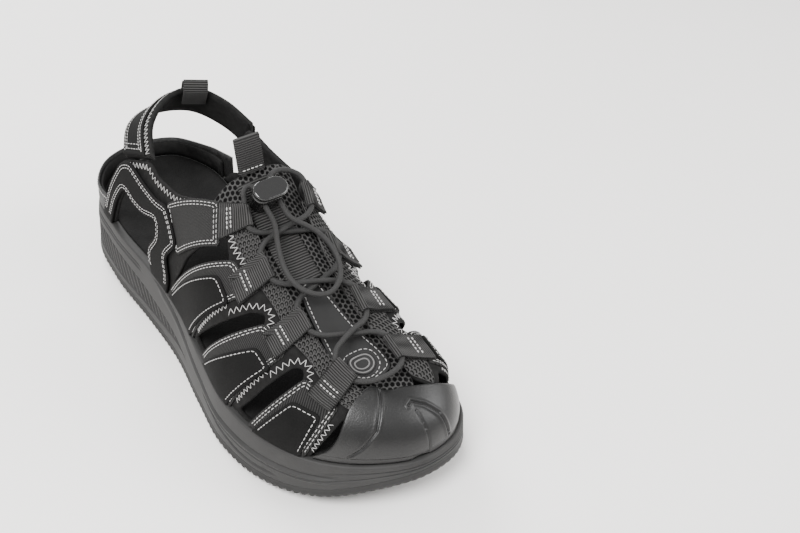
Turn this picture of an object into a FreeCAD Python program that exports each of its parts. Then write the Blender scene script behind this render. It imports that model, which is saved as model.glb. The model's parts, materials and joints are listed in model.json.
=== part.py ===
"""Strappy sport sandal, right foot, built as separate pieces.

X runs across the foot (medial side +X), Y along it (heel +Y, toe -Y), Z up. Millimetres.
A "station" is the distance forward from the back of the heel. The upper follows one
surface, the last, that rises from the sole's top edge (v = 0) to the ridge of the
instep (v = 1). Layers of the upper are slabs between two distances from the last.
"""
import FreeCAD, Part
import math
import os

Vec = FreeCAD.Vector

# ---------------------------------------------------------------- driving dimensions
LENGTH = 296.0
HALF_LENGTH = LENGTH / 2
SOLE_FLARE = 3.1            # how far the tread stands out beyond the sole's top edge
SOLE_TOP_DRAW_IN = 0.2
FLARE_BOTTOM = -2.0         # heights between which the sole wall leans
FLARE_TOP = 44.0
OUTSOLE_THICKNESS = 5.5
TREAD_DEPTH = 2.0
TREAD_RIM = 9.0             # width of the solid rubber rim round the tread
UPPER_INSET = 3.5           # ledge left between the upper and the sole's top edge
RECESS_WALL = 9.0
BOARD_THICKNESS = 2.0
FOOTBED_THICKNESS = 6.5
FIT_GAP = 0.15
FOOT_OF_UPPER = 0.006       # lowest v of the upper, just clear of the midsole

LINING = (0.0, 1.8)         # distances from the last: inner and outer face of each layer
TEXTILE = (1.95, 3.0)
OVERLAY = (3.15, 4.4)
WEBBING = (3.15, 8.3)
TONGUE = (-5.8, -1.8)
TONGUE_WEB = (-1.35, -0.45)
PATCH = (-1.15, -0.05)
BADGE = (0.85, 1.6)
UNDER_EYESTAY = (-0.35, 2.1)    # kept free of the tongue along the eyestays
COUNTER = (1.95, 2.75)
TOE_CAP = (0.0, 2.6)

CORD_DIAMETER = 2.8
CORD_CLEARANCE = 0.4
BEND_SHARE = 0.45           # share of a run that each bend of a cord may use
CORNER_SHARE = 0.38         # the same for the corners of the quarters

# sole outline: (station, distance from the centre line, lateral side negative)
OUTLINE = [(0, 2), (6, -21), (24.5, -36.5), (54, -41.5), (99, -42), (138, -44.5), (177, -52),
           (209, -57), (240, -53.5), (267, -40.5), (286, -19), (296, 6), (292.5, 28),
           (280, 41.5), (262, 47.5), (240, 48.5), (215, 46.5), (188, 43), (148, 38.5),
           (108, 36), (69, 38.5), (29.5, 37.5), (7, 25)]


def smooth(points):
    """A smooth function through (x, y) points that never overshoots them."""
    xs = [p[0] for p in points]
    ys = [p[1] for p in points]
    step = [b - a for a, b in zip(xs, xs[1:])]
    rise = [(b - a) / h for a, b, h in zip(ys, ys[1:], step)]
    slope = [rise[0]]
    for i in range(1, len(rise)):
        if rise[i - 1] * rise[i] <= 0:
            slope.append(0.0)
            continue
        w1 = 2 * step[i] + step[i - 1]
        w2 = step[i] + 2 * step[i - 1]
        slope.append((w1 + w2) / (w1 / rise[i - 1] + w2 / rise[i]))
    slope.append(rise[-1])

    def value(x):
        x = min(max(x, xs[0]), xs[-1])
        i = 0
        while i < len(step) - 1 and x > xs[i + 1]:
            i += 1
        h = step[i]
        t = (x - xs[i]) / h
        a = (1 + 2 * t) * (1 - t) ** 2 * ys[i] + t * (1 - t) ** 2 * h * slope[i]
        b = t * t * (3 - 2 * t) * ys[i + 1] + t * t * (t - 1) * h * slope[i + 1]
        return a + b
    return value


# heights and shape of the sole and the last, by station
SOLE_TOP = smooth([(-5, 41.5), (50, 40.5), (115, 38), (200, 33), (245, 31.5), (300, 30.5)])
SOLE_BOTTOM = smooth([(-5, 9.5), (0, 9), (50, 2.6), (102, 0), (148, 0), (200, 0.8), (245, 3.2),
                      (270, 8), (296, 18.5), (305, 21)])
RECESS_FLOOR = smooth([(-6, 28.5), (50, 27.5), (115, 25), (200, 20), (245, 18.5), (268, 19),
                       (285, 23), (302, 28)])
WEDGE_HEIGHT = smooth([(-6, 9), (20, 11), (60, 14), (90, 10), (118, 3)])
RIDGE_STATION = smooth([(0, 45), (60, 82), (120, 122), (180, 168), (240, 216), (300, 266)])
RIDGE_HEIGHT = smooth([(45, 160), (80, 150), (100, 141), (150, 116), (185, 94), (220, 74),
                       (250, 60), (272, 49)])
RIDGE_SIDE = smooth([(45, 8), (100, 3), (160, -2), (220, -3), (268, 0)])
FULLNESS = {-1: smooth([(0, 1.0), (60, 1.0), (120, 0.95), (200, 0.95), (300, 0.85)]),
            1: smooth([(0, 1.0), (50, 0.68), (90, 0.55), (130, 0.5), (150, 0.6), (175, 0.88),
                       (210, 1.05), (260, 0.9), (300, 0.85)])}
COLLAR_FLARE = smooth([(0, 0), (60, 0), (95, 3), (130, 5), (160, 2.5), (190, 0), (300, 0)])
FLARE_REACH = 0.6           # the medial collar's flare fades out at this v


# ---------------------------------------------------------------- outline and last
def closed_curve(points, per_span=20):
    """Points about 1 mm apart along a smooth closed curve through the given points."""
    n = len(points)
    out = []
    for i in range(n):
        p0, p1, p2, p3 = (points[(i + k) % n] for k in (-1, 0, 1, 2))
        d1, d2, d3 = math.dist(p0, p1), math.dist(p1, p2), math.dist(p2, p3)
        m1 = [((b - a) / d1 - (c - a) / (d1 + d2) + (c - b) / d2) * d2
              for a, b, c in zip(p0, p1, p2)]
        m2 = [((c - b) / d2 - (d - b) / (d2 + d3) + (d - c) / d3) * d2
              for b, c, d in zip(p1, p2, p3)]
        for k in range(per_span):
            t = k / per_span
            out.append(tuple((1 + 2 * t) * (1 - t) ** 2 * b + t * (1 - t) ** 2 * u
                             + t * t * (3 - 2 * t) * c + t * t * (t - 1) * w
                             for b, c, u, w in zip(p1, p2, m1, m2)))
    return even_steps(out)


def even_steps(points):
    """The same closed line, cut into equal steps."""
    points = points + points[:1]
    lengths = [0.0]
    for a, b in zip(points, points[1:]):
        lengths.append(lengths[-1] + math.dist(a, b))
    count = int(lengths[-1])
    out = []
    i = 0
    for k in range(count):
        target = lengths[-1] * k / count
        while lengths[i + 1] < target:
            i += 1
        t = (target - lengths[i]) / (lengths[i + 1] - lengths[i])
        out.append(tuple(a + (b - a) * t for a, b in zip(points[i], points[i + 1])))
    return out


OUTLINE_CURVE = closed_curve(OUTLINE)


def inset_outline(distance):
    """The sole outline moved inward by a distance (outward if negative)."""
    n = len(OUTLINE_CURVE)
    out = []
    for i, (l, w) in enumerate(OUTLINE_CURVE):
        l0, w0 = OUTLINE_CURVE[i - 1]
        l1, w1 = OUTLINE_CURVE[(i + 1) % n]
        size = math.hypot(l1 - l0, w1 - w0)
        out.append((l - (w1 - w0) / size * distance, w + (l1 - l0) / size * distance))
    return out


RAIL = inset_outline(UPPER_INSET)
START = min(range(len(RAIL)), key=lambda i: RAIL[i][0])
RAIL = RAIL[START:] + RAIL[:START + 1]
TOE = max(range(len(RAIL)), key=lambda i: RAIL[i][0])


def rail_at(side, station):
    """Place along the rail (0 at the heel, round by the lateral side) of a station."""
    order = range(TOE) if side < 0 else range(len(RAIL) - 1, TOE, -1)
    step = 1 if side < 0 else -1
    for i in order:
        a, b = RAIL[i][0], RAIL[i + step][0]
        if a <= station <= b:
            return i + step * (station - a) / max(b - a, 1e-9)
    return 0 if station < RAIL[0][0] else TOE


def last(place, v, out=0.0):
    """Point of the last at a rail place and height v, moved out along its normal."""
    def point(s, h):
        i = int(math.floor(s)) % (len(RAIL) - 1)
        t = s - math.floor(s)
        l = RAIL[i][0] + (RAIL[i + 1][0] - RAIL[i][0]) * t
        w = RAIL[i][1] + (RAIL[i + 1][1] - RAIL[i][1]) * t
        side = -1 if i < TOE else 1
        full = FULLNESS[side](l)
        ridge = RIDGE_STATION(l)
        angle = h ** (1 / full) * math.pi / 2
        inward = 1 - math.cos(angle) ** full
        upward = math.sin(angle) ** full
        flare = 0.0
        if side > 0:
            flare = COLLAR_FLARE(l) * math.sin(math.pi * min(h / FLARE_REACH, 1))
        base = SOLE_TOP(l)
        return Vec(w + (RIDGE_SIDE(ridge) - w) * inward + flare,
                   HALF_LENGTH - (l + (ridge - l) * inward),
                   base + (RIDGE_HEIGHT(ridge) - base) * upward)
    here = point(place, v)
    if not out:
        return here
    dv = 0.012
    low, high = max(v - dv, 0.0), min(v + dv, 0.999)
    normal = (point(place + 2, v) - point(place - 2, v)).cross(
        point(place, high) - point(place, low))
    normal.normalize()
    if normal.dot(here - Vec(RIDGE_SIDE(HALF_LENGTH - here.y), here.y, 20)) < 0:
        normal = -normal
    return here + normal * out


def height_to_v(side, station, z):
    """The v at which the last reaches height z above a station."""
    base = SOLE_TOP(station)
    share = (z - base) / (RIDGE_HEIGHT(RIDGE_STATION(station)) - base)
    full = FULLNESS[side](station)
    return (math.asin(max(share, 0.0) ** (1 / full)) * 2 / math.pi) ** full


def place_xyz(x, station, z):
    return Vec(x, HALF_LENGTH - station, z)


# ---------------------------------------------------------------- solids
def solid_between(inner, outer):
    """Closed solid between two matching grids of points."""
    surfaces = []
    for grid in (inner, outer):
        surface = Part.BSplineSurface()
        surface.interpolate(grid)
        surfaces.append(surface)
    faces = [s.toShape() for s in surfaces]
    for pick in ("uIso", "vIso"):
        for end in (0, 1):
            edges = []
            for s in surfaces:
                bound = s.bounds()[(0 if pick == "uIso" else 2) + end]
                edges.append(getattr(s, pick)(bound).toShape())
            faces.append(Part.makeRuledSurface(*edges))
    shell = Part.makeShell(faces)
    shell.sewShape()
    solid = Part.Solid(shell)
    return solid if solid.Volume > 0 else solid.reversed()


def layer(region, depth, across=7, up=6):
    """Slab over a region of the last; region(u, t) gives a rail place and a v."""
    grids = []
    for out in depth:
        grids.append([[last(*region(i / (across - 1), k / (up - 1)), out)
                       for k in range(up)] for i in range(across)])
    return solid_between(*grids)


def quad(side, back_foot, front_foot, front_top, back_top):
    """Region with four corners, each (station, v)."""
    def region(u, t):
        foot = [a + (b - a) * u for a, b in zip(back_foot, front_foot)]
        top = [a + (b - a) * u for a, b in zip(back_top, front_top)]
        station, v = (a + (b - a) * t for a, b in zip(foot, top))
        return rail_at(side, station), max(v, FOOT_OF_UPPER)
    return region


def band(side, start, end, low, high):
    """Region between two heights v that vary with the station."""
    def region(u, t):
        station = start + (end - start) * u
        return rail_at(side, station), low(station) + (high(station) - low(station)) * t
    return region


def spot(station, x):
    """Rail place and v of the point of the last above a station and x, near the ridge."""
    middle = RIDGE_SIDE(station)
    side = -1 if x < middle else 1
    low, high = 0.2, 1.0
    for _ in range(18):
        v = (low + high) / 2
        heelward, toeward = (0 if side < 0 else len(RAIL) - 1), TOE
        for _ in range(18):
            place = (heelward + toeward) / 2
            here = last(place, v)
            if HALF_LENGTH - here.y < station:
                heelward = place
            else:
                toeward = place
        if abs(here.x - middle) > abs(x - middle):
            low = v
        else:
            high = v
    return place, v


def across_ridge(start, end, lateral_reach, medial_reach):
    """Region over the ridge between two stations, with a reach to each side of it."""
    def region(u, t):
        station = start + (end - start) * u
        reach = -lateral_reach(station) if t < 0.5 else medial_reach(station)
        return spot(station, RIDGE_SIDE(station) + reach * abs(2 * t - 1))
    return region


def wrap(first_side, first, last_side, end, top):
    """Region round the heel or toe from one rail place to another, up to top(share)."""
    a, b = rail_at(first_side, first), rail_at(last_side, end)
    if first_side > 0:
        a -= len(RAIL) - 1

    def region(u, t):
        return a + (b - a) * u, FOOT_OF_UPPER + (top(u) - FOOT_OF_UPPER) * t
    return region


def bend(a, b, c, share):
    """Arc that rounds the corner b of a route a, b, c: its three points and its radius."""
    back, ahead = a - b, c - b
    half_turn = (math.pi - back.getAngle(ahead)) / 2
    run = min(back.Length, ahead.Length)
    radius = share * run / math.tan(half_turn)
    back.normalize()
    ahead.normalize()
    middle = back + ahead
    middle.normalize()
    middle = b + middle * (radius / math.cos(half_turn) - radius)
    return b + back * share * run, middle, b + ahead * share * run, radius


def side_prism(side, corners, near=4, far=80):
    """Prism across the foot over (station, height) corners, all rounded but the two feet."""
    points = [place_xyz(side * near, l, z) for l, z in corners]
    edges = [Part.LineSegment(points[-1], points[0]).toShape()]
    start = points[0]
    for a, b, c in zip(points, points[1:], points[2:]):
        first, middle, final, radius = bend(a, b, c, CORNER_SHARE)
        edges.append(Part.LineSegment(start, first).toShape())
        edges.append(Part.Arc(first, middle, final).toShape())
        start = final
    edges.append(Part.LineSegment(start, points[-1]).toShape())
    return Part.Face(Part.Wire(edges)).extrude(Vec(side * (far - near), 0, 0))


def outline_block(inset_low, inset_high, low=FLARE_BOTTOM, high=FLARE_TOP):
    """Solid with the sole outline, leaning from one inset to another."""
    wires = []
    for inset, z in ((inset_low, low), (inset_high, high)):
        points = [place_xyz(w, l, z) for l, w in inset_outline(inset)[::14]]
        curve = Part.BSplineCurve()
        curve.interpolate(points, PeriodicFlag=True)
        wires.append(Part.Wire(curve.toShape()))
    return Part.makeLoft(wires, True, True)


def height_slab(low, high, start=-12, end=LENGTH + 12, reach=80):
    """Solid between two height functions of the station."""
    edges = []
    steps = 26
    stations = [start + (end - start) * i / steps for i in range(steps + 1)]
    for height in (low, high):
        curve = Part.BSplineCurve()
        curve.interpolate([place_xyz(-reach, l, height(l)) for l in stations])
        edges.append(curve.toShape())
    for l in (start, end):
        edges.append(Part.makeLine(place_xyz(-reach, l, low(l)), place_xyz(-reach, l, high(l))))
    wire = Part.Wire(Part.__sortEdges__(edges))
    return Part.Face(wire).extrude(Vec(2 * reach, 0, 0))


def raised(height, amount):
    return lambda l: height(l) + amount


def cord_wire(route):
    """Straight runs joined by tangent arcs, and the smallest arc radius."""
    edges = []
    start = route[0]
    radii = []
    for a, b, c in zip(route, route[1:], route[2:]):
        first, middle, final, radius = bend(a, b, c, BEND_SHARE)
        edges.append(Part.LineSegment(start, first).toShape())
        edges.append(Part.Arc(first, middle, final).toShape())
        start = final
        radii.append(radius)
    edges.append(Part.LineSegment(start, route[-1]).toShape())
    return Part.Wire(edges), min(radii)


def tube(wire, route, radius):
    circle = Part.makeCircle(radius, route[0], route[1] - route[0])
    return wire.makePipeShell([Part.Wire(circle)], True, True)


PIECES = {}


def keep(name, shape):
    """Record a finished piece, with any slivers of a cut dropped."""
    solids = [s for s in shape.Solids if s.Volume > 1.0]
    PIECES[name] = solids[0] if len(solids) == 1 else Part.makeCompound(solids)


# ---------------------------------------------------------------- sole unit
WEDGE_WALL = 11.0
WEDGE_SPAN = (9.0, 116.0)
SHANK_SPAN = (95.0, 205.0)
SHANK_HALF_WIDTH = 7.0
SHANK_THICKNESS = 1.5
POCKET_MARGIN = 1.0         # the wedge's and shank's pockets are cut from outside the midsole
POD_SIZE = (14.0, 6.4)
POD_ROWS = [                # first station, last station, count, share of the half width
    (34, 262, 13, -0.52), (42, 254, 12, 0.50)]
POD_SLANT = 18.0


def half_width(side, station):
    """Distance from the centre line to the sole's edge."""
    row = [(l, w) for l, w in OUTLINE_CURVE if w * side > 0]
    return min(row, key=lambda p: abs(p[0] - station))[1]


def sole_unit():
    wall = outline_block(-SOLE_FLARE, SOLE_TOP_DRAW_IN)
    split = raised(SOLE_BOTTOM, OUTSOLE_THICKNESS)
    tread_top = raised(SOLE_BOTTOM, TREAD_DEPTH)
    inner = outline_block(TREAD_RIM, TREAD_RIM)
    outsole = wall.common(height_slab(SOLE_BOTTOM, split))
    outsole = outsole.cut(inner.common(height_slab(raised(SOLE_BOTTOM, -2), tread_top)))
    keep("outsole", outsole)

    pods = []
    for first, final, count, share in POD_ROWS:
        for i in range(count):
            station = first + (final - first) * i / (count - 1)
            w = abs(half_width(1 if share > 0 else -1, station)) * share
            oval = Part.Ellipse(Vec(0, 0, 0), POD_SIZE[0] / 2, POD_SIZE[1] / 2)
            oval = Part.Face(Part.Wire(oval.toShape()))
            oval.rotate(Vec(0, 0, 0), Vec(0, 0, 1), 90 + math.copysign(POD_SLANT, share))
            oval.translate(place_xyz(w, station, FLARE_BOTTOM))
            pods.append(oval.extrude(Vec(0, 0, FLARE_TOP)))
    keep("tread_pods", Part.makeCompound(pods).common(height_slab(SOLE_BOTTOM, tread_top)))

    midsole = wall.common(height_slab(split, SOLE_TOP))
    recess = outline_block(RECESS_WALL, RECESS_WALL)
    midsole = midsole.cut(recess.common(height_slab(RECESS_FLOOR, raised(SOLE_TOP, 9))))
    core = outline_block(WEDGE_WALL, WEDGE_WALL)

    def wedge(low):
        """The heel wedge, or the pocket that it fills if it starts lower."""
        return core.common(height_slab(raised(split, low), lambda l: split(l) + WEDGE_HEIGHT(l),
                                       *WEDGE_SPAN))

    def shank(high):
        return height_slab(raised(RECESS_FLOOR, -SHANK_THICKNESS), raised(RECESS_FLOOR, high),
                           *SHANK_SPAN, reach=SHANK_HALF_WIDTH)
    keep("midsole", midsole.cut(wedge(-POCKET_MARGIN)).cut(shank(POCKET_MARGIN)))
    keep("heel_wedge", wedge(FIT_GAP))
    keep("shank", shank(0))

    bed = outline_block(RECESS_WALL + FIT_GAP, RECESS_WALL + FIT_GAP)
    board_top = raised(RECESS_FLOOR, BOARD_THICKNESS)
    keep("lasting_board", bed.common(height_slab(RECESS_FLOOR, board_top)))
    keep("footbed", bed.common(height_slab(board_top, raised(board_top, FOOTBED_THICKNESS))))


# ---------------------------------------------------------------- quarters and straps
# (station, height) corners of the pieces cut from the sides
QUARTER = {-1: [(41, 39), (54, 68), (62, 82), (68, 91.5), (77, 96), (93, 91.4), (109, 90),
                (120, 92), (128, 85), (136, 77), (124, 63), (128, 51), (124, 36)],
           1: [(50, 39), (60, 52), (72, 58), (77.5, 76), (82.5, 95), (100, 93), (118, 91),
               (135, 90), (146, 95), (154, 101), (162, 96.5), (156, 84), (146, 72), (134, 58),
               (128, 50), (125, 36)]}
QUARTER_LINING = {-1: [(40, 39), (52, 69), (60, 83), (67, 92), (92.5, 103), (102, 99),
                       (123, 99.6), (135, 104), (151, 109), (160, 103), (166, 96.5), (157, 90),
                       (146, 77), (138, 60.6), (131, 50), (128, 36)],
                  1: [(49, 39), (60, 53), (71, 58.5), (76.5, 76), (81.5, 97), (101, 97),
                      (118, 95), (136, 96), (150, 104), (160, 106), (170, 97.5), (160, 87),
                      (148, 74), (138, 60), (131, 50), (128, 36)]}
STAR = {-1: [(53, 38), (62.4, 62), (73, 78), (85, 73.6), (95.5, 73.3), (111.4, 78.5),
             (112, 69), (101, 55), (105, 36)],
        1: [(67, 38), (75, 52), (88, 72), (95, 69), (104, 69), (117, 74), (118, 66),
            (108, 54), (111, 36)]}
# four (station, v) corners: back foot, front foot, front top, back top
STRAP_LINING = {-1: [[(130, 0), (166, 0), (210, 0.6), (186, 0.6)],
                     [(173, 0), (218, 0), (243, 0.58), (220, 0.6)],
                     [(225, 0), (263, 0), (274, 0.5), (252, 0.58)]],
                1: [[(130, 0), (167, 0), (211, 0.5), (185, 0.46)],
                    [(171, 0), (218, 0), (245, 0.56), (221, 0.53)],
                    [(225, 0), (263, 0), (274, 0.5), (252, 0.55)]]}
STRAP_BASE = {-1: [[(127, 0), (162, 0), (206, 0.66), (186, 0.66)],
                   [(176, 0), (214, 0), (240, 0.62), (222, 0.64)],
                   [(229, 0), (261, 0), (272, 0.56), (254, 0.61)]],
              1: [[(132, 0), (163, 0), (207, 0.54), (188, 0.5)],
                  [(175, 0), (214, 0), (242, 0.6), (224, 0.58)],
                  [(229, 0), (261, 0), (272, 0.55), (255, 0.6)]]}
STRAP_OVERLAY = {-1: [[(129, 0), (160, 0), (197, 0.51), (181, 0.52)],
                      [(181, 0), (212, 0), (236, 0.49), (224, 0.51)],
                      [(233, 0), (259, 0), (266, 0.44), (252, 0.43)]],
                 1: [[(134, 0), (160, 0), (195, 0.4), (180, 0.38)],
                     [(178, 0), (212, 0), (235, 0.46), (220, 0.45)],
                     [(233, 0), (259, 0), (266, 0.43), (252, 0.44)]]}
LACE_LOOP = {-1: [[(157, 0.72), (170, 0.61), (182, 0.83), (171, 0.88)],
                  [(188, 0.57), (203, 0.55), (211, 0.81), (196, 0.82)],
                  [(223, 0.57), (236, 0.54), (244, 0.83), (231, 0.84)],
                  [(257, 0.52), (269, 0.48), (277, 0.77), (264, 0.81)]],
             1: [[(158, 0.62), (173, 0.56), (177, 0.75), (161, 0.78)],
                 [(190, 0.44), (206, 0.46), (210, 0.73), (191, 0.69)],
                 [(226, 0.53), (240, 0.54), (248, 0.82), (229, 0.78)],
                 [(256, 0.53), (269, 0.48), (277, 0.77), (261, 0.8)]]}
EYESTAY = {-1: (167, 270, smooth([(160, 0.64), (180, 0.67), (220, 0.67), (250, 0.64),
                                  (284, 0.53)]),
                smooth([(160, 0.84), (195, 0.82), (243, 0.83), (264, 0.8), (284, 0.74)])),
           1: (171, 272, smooth([(160, 0.6), (190, 0.54), (215, 0.56), (240, 0.6), (262, 0.6),
                                 (284, 0.53)]),
               smooth([(160, 0.76), (192, 0.7), (208, 0.72), (246, 0.81), (264, 0.79),
                       (284, 0.74)]))}
EYESTAY_SAMPLES = (14, 6)
GORE = [(117, 0.4), (136, 0.26), (172, 0.6), (157, 0.73)]
SIDE_NAME = {-1: "lateral", 1: "medial"}
SIDE_BLANK = ((30, 0.0), (172, 0.0), (172, 0.86), (30, 0.62))


def uppers():
    for side, name in SIDE_NAME.items():
        star = side_prism(side, STAR[side])
        for label, corners, depth in (("quarter_lining", QUARTER_LINING[side], LINING),
                                      ("quarter", QUARTER[side], OVERLAY)):
            blank = layer(quad(side, *SIDE_BLANK), depth, 14, 9)
            keep(f"{name}_{label}", blank.common(side_prism(side, corners)).cut(star))
        for table, label, depth in ((STRAP_LINING, "strap_lining", LINING),
                                    (STRAP_BASE, "strap_base", TEXTILE),
                                    (STRAP_OVERLAY, "strap_overlay", OVERLAY)):
            for i, corners in enumerate(table[side], 1):
                keep(f"{name}_{label}_{i}", layer(quad(side, *corners), depth))
        keep(f"{name}_eyestay", layer(band(side, *EYESTAY[side]), LINING, *EYESTAY_SAMPLES))
    keep("lateral_gore", layer(quad(-1, *GORE), TEXTILE))


# ---------------------------------------------------------------- heel, toe and tongue
COUNTER_TOP = smooth([(0, 62), (0.12, 57), (0.3, 54), (0.7, 54), (0.88, 55), (1, 58)])
HEEL_LINING_TOP = smooth([(0, 53), (0.2, 52), (0.5, 51.5), (0.8, 52), (1, 53)])
TOE_CAP_BACK = smooth([(0, 0.03), (0.07, 0.15), (0.11, 0.3), (0.14, 0.55), (0.2, 0.73),
                       (0.32, 0.87), (0.5, 0.9), (0.68, 0.84), (0.78, 0.66), (0.88, 0.37),
                       (1, 0.03)])
TONGUE_SPAN = (147, 260)
TONGUE_REACH = {-1: smooth([(147, 24), (200, 27), (232, 24), (260, 12)]),
                1: smooth([(147, 24), (200, 26), (240, 23), (260, 16)])}
TONGUE_WEBBING = (151.5, 205, 10.0)     # first and last station, half width
TONGUE_STRIP = (207, 258, 10.5)
TONGUE_BADGE = (242, 256.5, 8.5)


def level_top(level, first, end):
    """v of a nearly level top edge round the heel, from heights along the wrap."""
    a, b = rail_at(1, first) - (len(RAIL) - 1), rail_at(-1, end)

    def top(u):
        place = a + (b - a) * u
        i = int(math.floor(place)) % (len(RAIL) - 1)
        station = RAIL[i][0] + (RAIL[i + 1][0] - RAIL[i][0]) * (place - math.floor(place))
        return height_to_v(-1 if i < TOE else 1, station, level(u))
    return top


def ends():
    counter = (58, 52)      # medial and lateral stations where the counter stops
    lining = (47, 39)
    keep("heel_counter", layer(wrap(1, counter[0], -1, counter[1],
                                    level_top(COUNTER_TOP, *counter)), COUNTER, 18, 4))
    keep("heel_lining", layer(wrap(1, lining[0], -1, lining[1],
                                   level_top(HEEL_LINING_TOP, *lining)), LINING, 18, 4))
    keep("toe_cap", layer(wrap(-1, 264, 1, 266, TOE_CAP_BACK), TOE_CAP, 28, 8))


def tongue():
    region = across_ridge(*TONGUE_SPAN, TONGUE_REACH[-1], TONGUE_REACH[1])
    pad = layer(region, TONGUE, 10, 9)
    for side in SIDE_NAME:
        pad = pad.cut(layer(band(side, *EYESTAY[side]), UNDER_EYESTAY, *EYESTAY_SAMPLES))
    keep("tongue", pad)
    for name, (start, end, half), depth in (("tongue_webbing", TONGUE_WEBBING, TONGUE_WEB),
                                            ("tongue_strip", TONGUE_STRIP, PATCH),
                                            ("tongue_badge", TONGUE_BADGE, BADGE)):
        region = across_ridge(start, end, lambda l: half, lambda l: half)
        keep(name, layer(region, depth, 6, 5))


# heel strap: upper and lower edge, (x, station, z), from the lateral to the medial side
STRAP_TOP = [(-28, 93, 104), (-15, 67, 108), (4, 51, 111), (21, 49, 110), (33, 61, 104),
             (38, 82, 98)]
STRAP_FOOT = [(-33, 67, 93), (-18, 44, 95), (3, 33, 92), (24, 36, 88), (37, 52, 81),
              (41, 76, 76)]
STRAP_LAYERS = {"heel_strap_lining": (0.0, 1.7), "heel_strap_foam": (1.85, 2.95),
                "heel_strap_outer": (3.1, 4.3)}
FOAM_MARGIN = 0.1           # the foam stops short of the strap's edges
TAB_STATION = 3             # the pull tab sits at this point of the upper edge
TAB_HALF_WIDTH = 7.0
TAB_LENGTH = 13.5
TAB_THICKNESS = 1.8
TAB_LIFT = 3.2              # the tab turns this far above the strap's edge
TAB_RADIUS = 4.1


def strap_frame(i, t):
    """Point across the strap at a station, and the outward normal there."""
    def edge(table, k):
        return place_xyz(*table[max(0, min(k, len(table) - 1))])

    def across(k):
        return edge(STRAP_FOOT, k) * (1 - t) + edge(STRAP_TOP, k) * t
    here = across(i)
    normal = (edge(STRAP_TOP, i) - edge(STRAP_FOOT, i)).cross(across(i + 1) - across(i - 1))
    normal.normalize()
    return here, normal


def heel_strap():
    for name, depth in STRAP_LAYERS.items():
        margin = FOAM_MARGIN if name.endswith("foam") else 0.0
        shares = [margin + (1 - 2 * margin) * k / 3 for k in range(4)]
        grids = []
        for out in depth:
            grids.append([])
            for i in range(len(STRAP_TOP)):
                row = [strap_frame(i, t) for t in shares]
                grids[-1].append([p + n * out for p, n in row])
        keep(name, solid_between(*grids))

    edge, normal = strap_frame(TAB_STATION, 1.0)
    foot = place_xyz(*STRAP_FOOT[TAB_STATION])
    up = edge - foot
    up.normalize()
    along = up.cross(normal)
    along.normalize()
    middle = edge + normal * (STRAP_LAYERS["heel_strap_outer"][1] / 2)
    axis = middle + up * TAB_LIFT

    def at(sideways, outward, upward):
        return axis + along * sideways + normal * outward + up * upward
    inner, outer = TAB_RADIUS, TAB_RADIUS + TAB_THICKNESS
    s = TAB_HALF_WIDTH
    c = math.cos(math.pi / 4)
    profile = Part.Wire([
        Part.LineSegment(at(-s, -inner, -TAB_LENGTH), at(-s, -inner, 0)).toShape(),
        Part.Arc(at(-s, -inner, 0), at(-s, -inner * c, inner * c), at(-s, 0, inner)).toShape(),
        Part.LineSegment(at(-s, 0, inner), at(-s, 0, outer)).toShape(),
        Part.Arc(at(-s, 0, outer), at(-s, -outer * c, outer * c), at(-s, -outer, 0)).toShape(),
        Part.LineSegment(at(-s, -outer, 0), at(-s, -outer, -TAB_LENGTH)).toShape(),
        Part.LineSegment(at(-s, -outer, -TAB_LENGTH), at(-s, -inner, -TAB_LENGTH)).toShape()])
    keep("heel_pull_tab", Part.Face(profile).extrude(along * 2 * s))
    out0 = STRAP_LAYERS["heel_strap_outer"][1] / 2 + 0.4
    out1 = out0 + 1.6
    top = 0.4 - TAB_LIFT
    corners = [at(-s, out0, -16), at(-s, out0, top), at(-s, out1, top), at(-s, out1, -16)]
    anchor = Part.Face(Part.makePolygon(corners + corners[:1]))
    keep("heel_tab_anchor", anchor.extrude(along * 2 * s))
    print("heel tab axis point", tuple(round(c, 2) for c in axis + SHIFT), "direction",
          tuple(round(c, 4) for c in along))


PULL_BASE = (0, 148.2, 118.1)
PULL_TOP = (0, 143.6, 137.8)
PULL_HALF_WIDTH = 7.2
PULL_THICKNESS = 3.4
PULL_GAP = 0.5              # space left between the two layers of the loop


def tongue_pull():
    base, top = place_xyz(*PULL_BASE), place_xyz(*PULL_TOP)
    up = top - base
    height = up.Length
    up.normalize()
    front = Vec(1, 0, 0).cross(up)

    def outline(half, low, high):
        def at(f, h):
            return base - Vec(PULL_HALF_WIDTH, 0, 0) + front * f + up * h
        cap = high - half
        return Part.Wire([
            Part.LineSegment(at(-half, low), at(-half, cap)).toShape(),
            Part.Arc(at(-half, cap), at(0, high), at(half, cap)).toShape(),
            Part.LineSegment(at(half, cap), at(half, low)).toShape(),
            Part.LineSegment(at(half, low), at(-half, low)).toShape()])
    width = Vec(2 * PULL_HALF_WIDTH, 0, 0)
    half = PULL_THICKNESS / 2
    loop = Part.Face(outline(half, 0, height)).extrude(width)
    slot = Part.Face(outline(PULL_GAP / 2, 3, height - half + PULL_GAP / 2)).extrude(width)
    keep("tongue_pull_loop", loop.cut(slot))


# ---------------------------------------------------------------- lacing
LOCK_CENTRE = (-2.2, 167, 115.1)
LOCK_SLOPE = math.atan2(0.49, 0.87)
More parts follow.
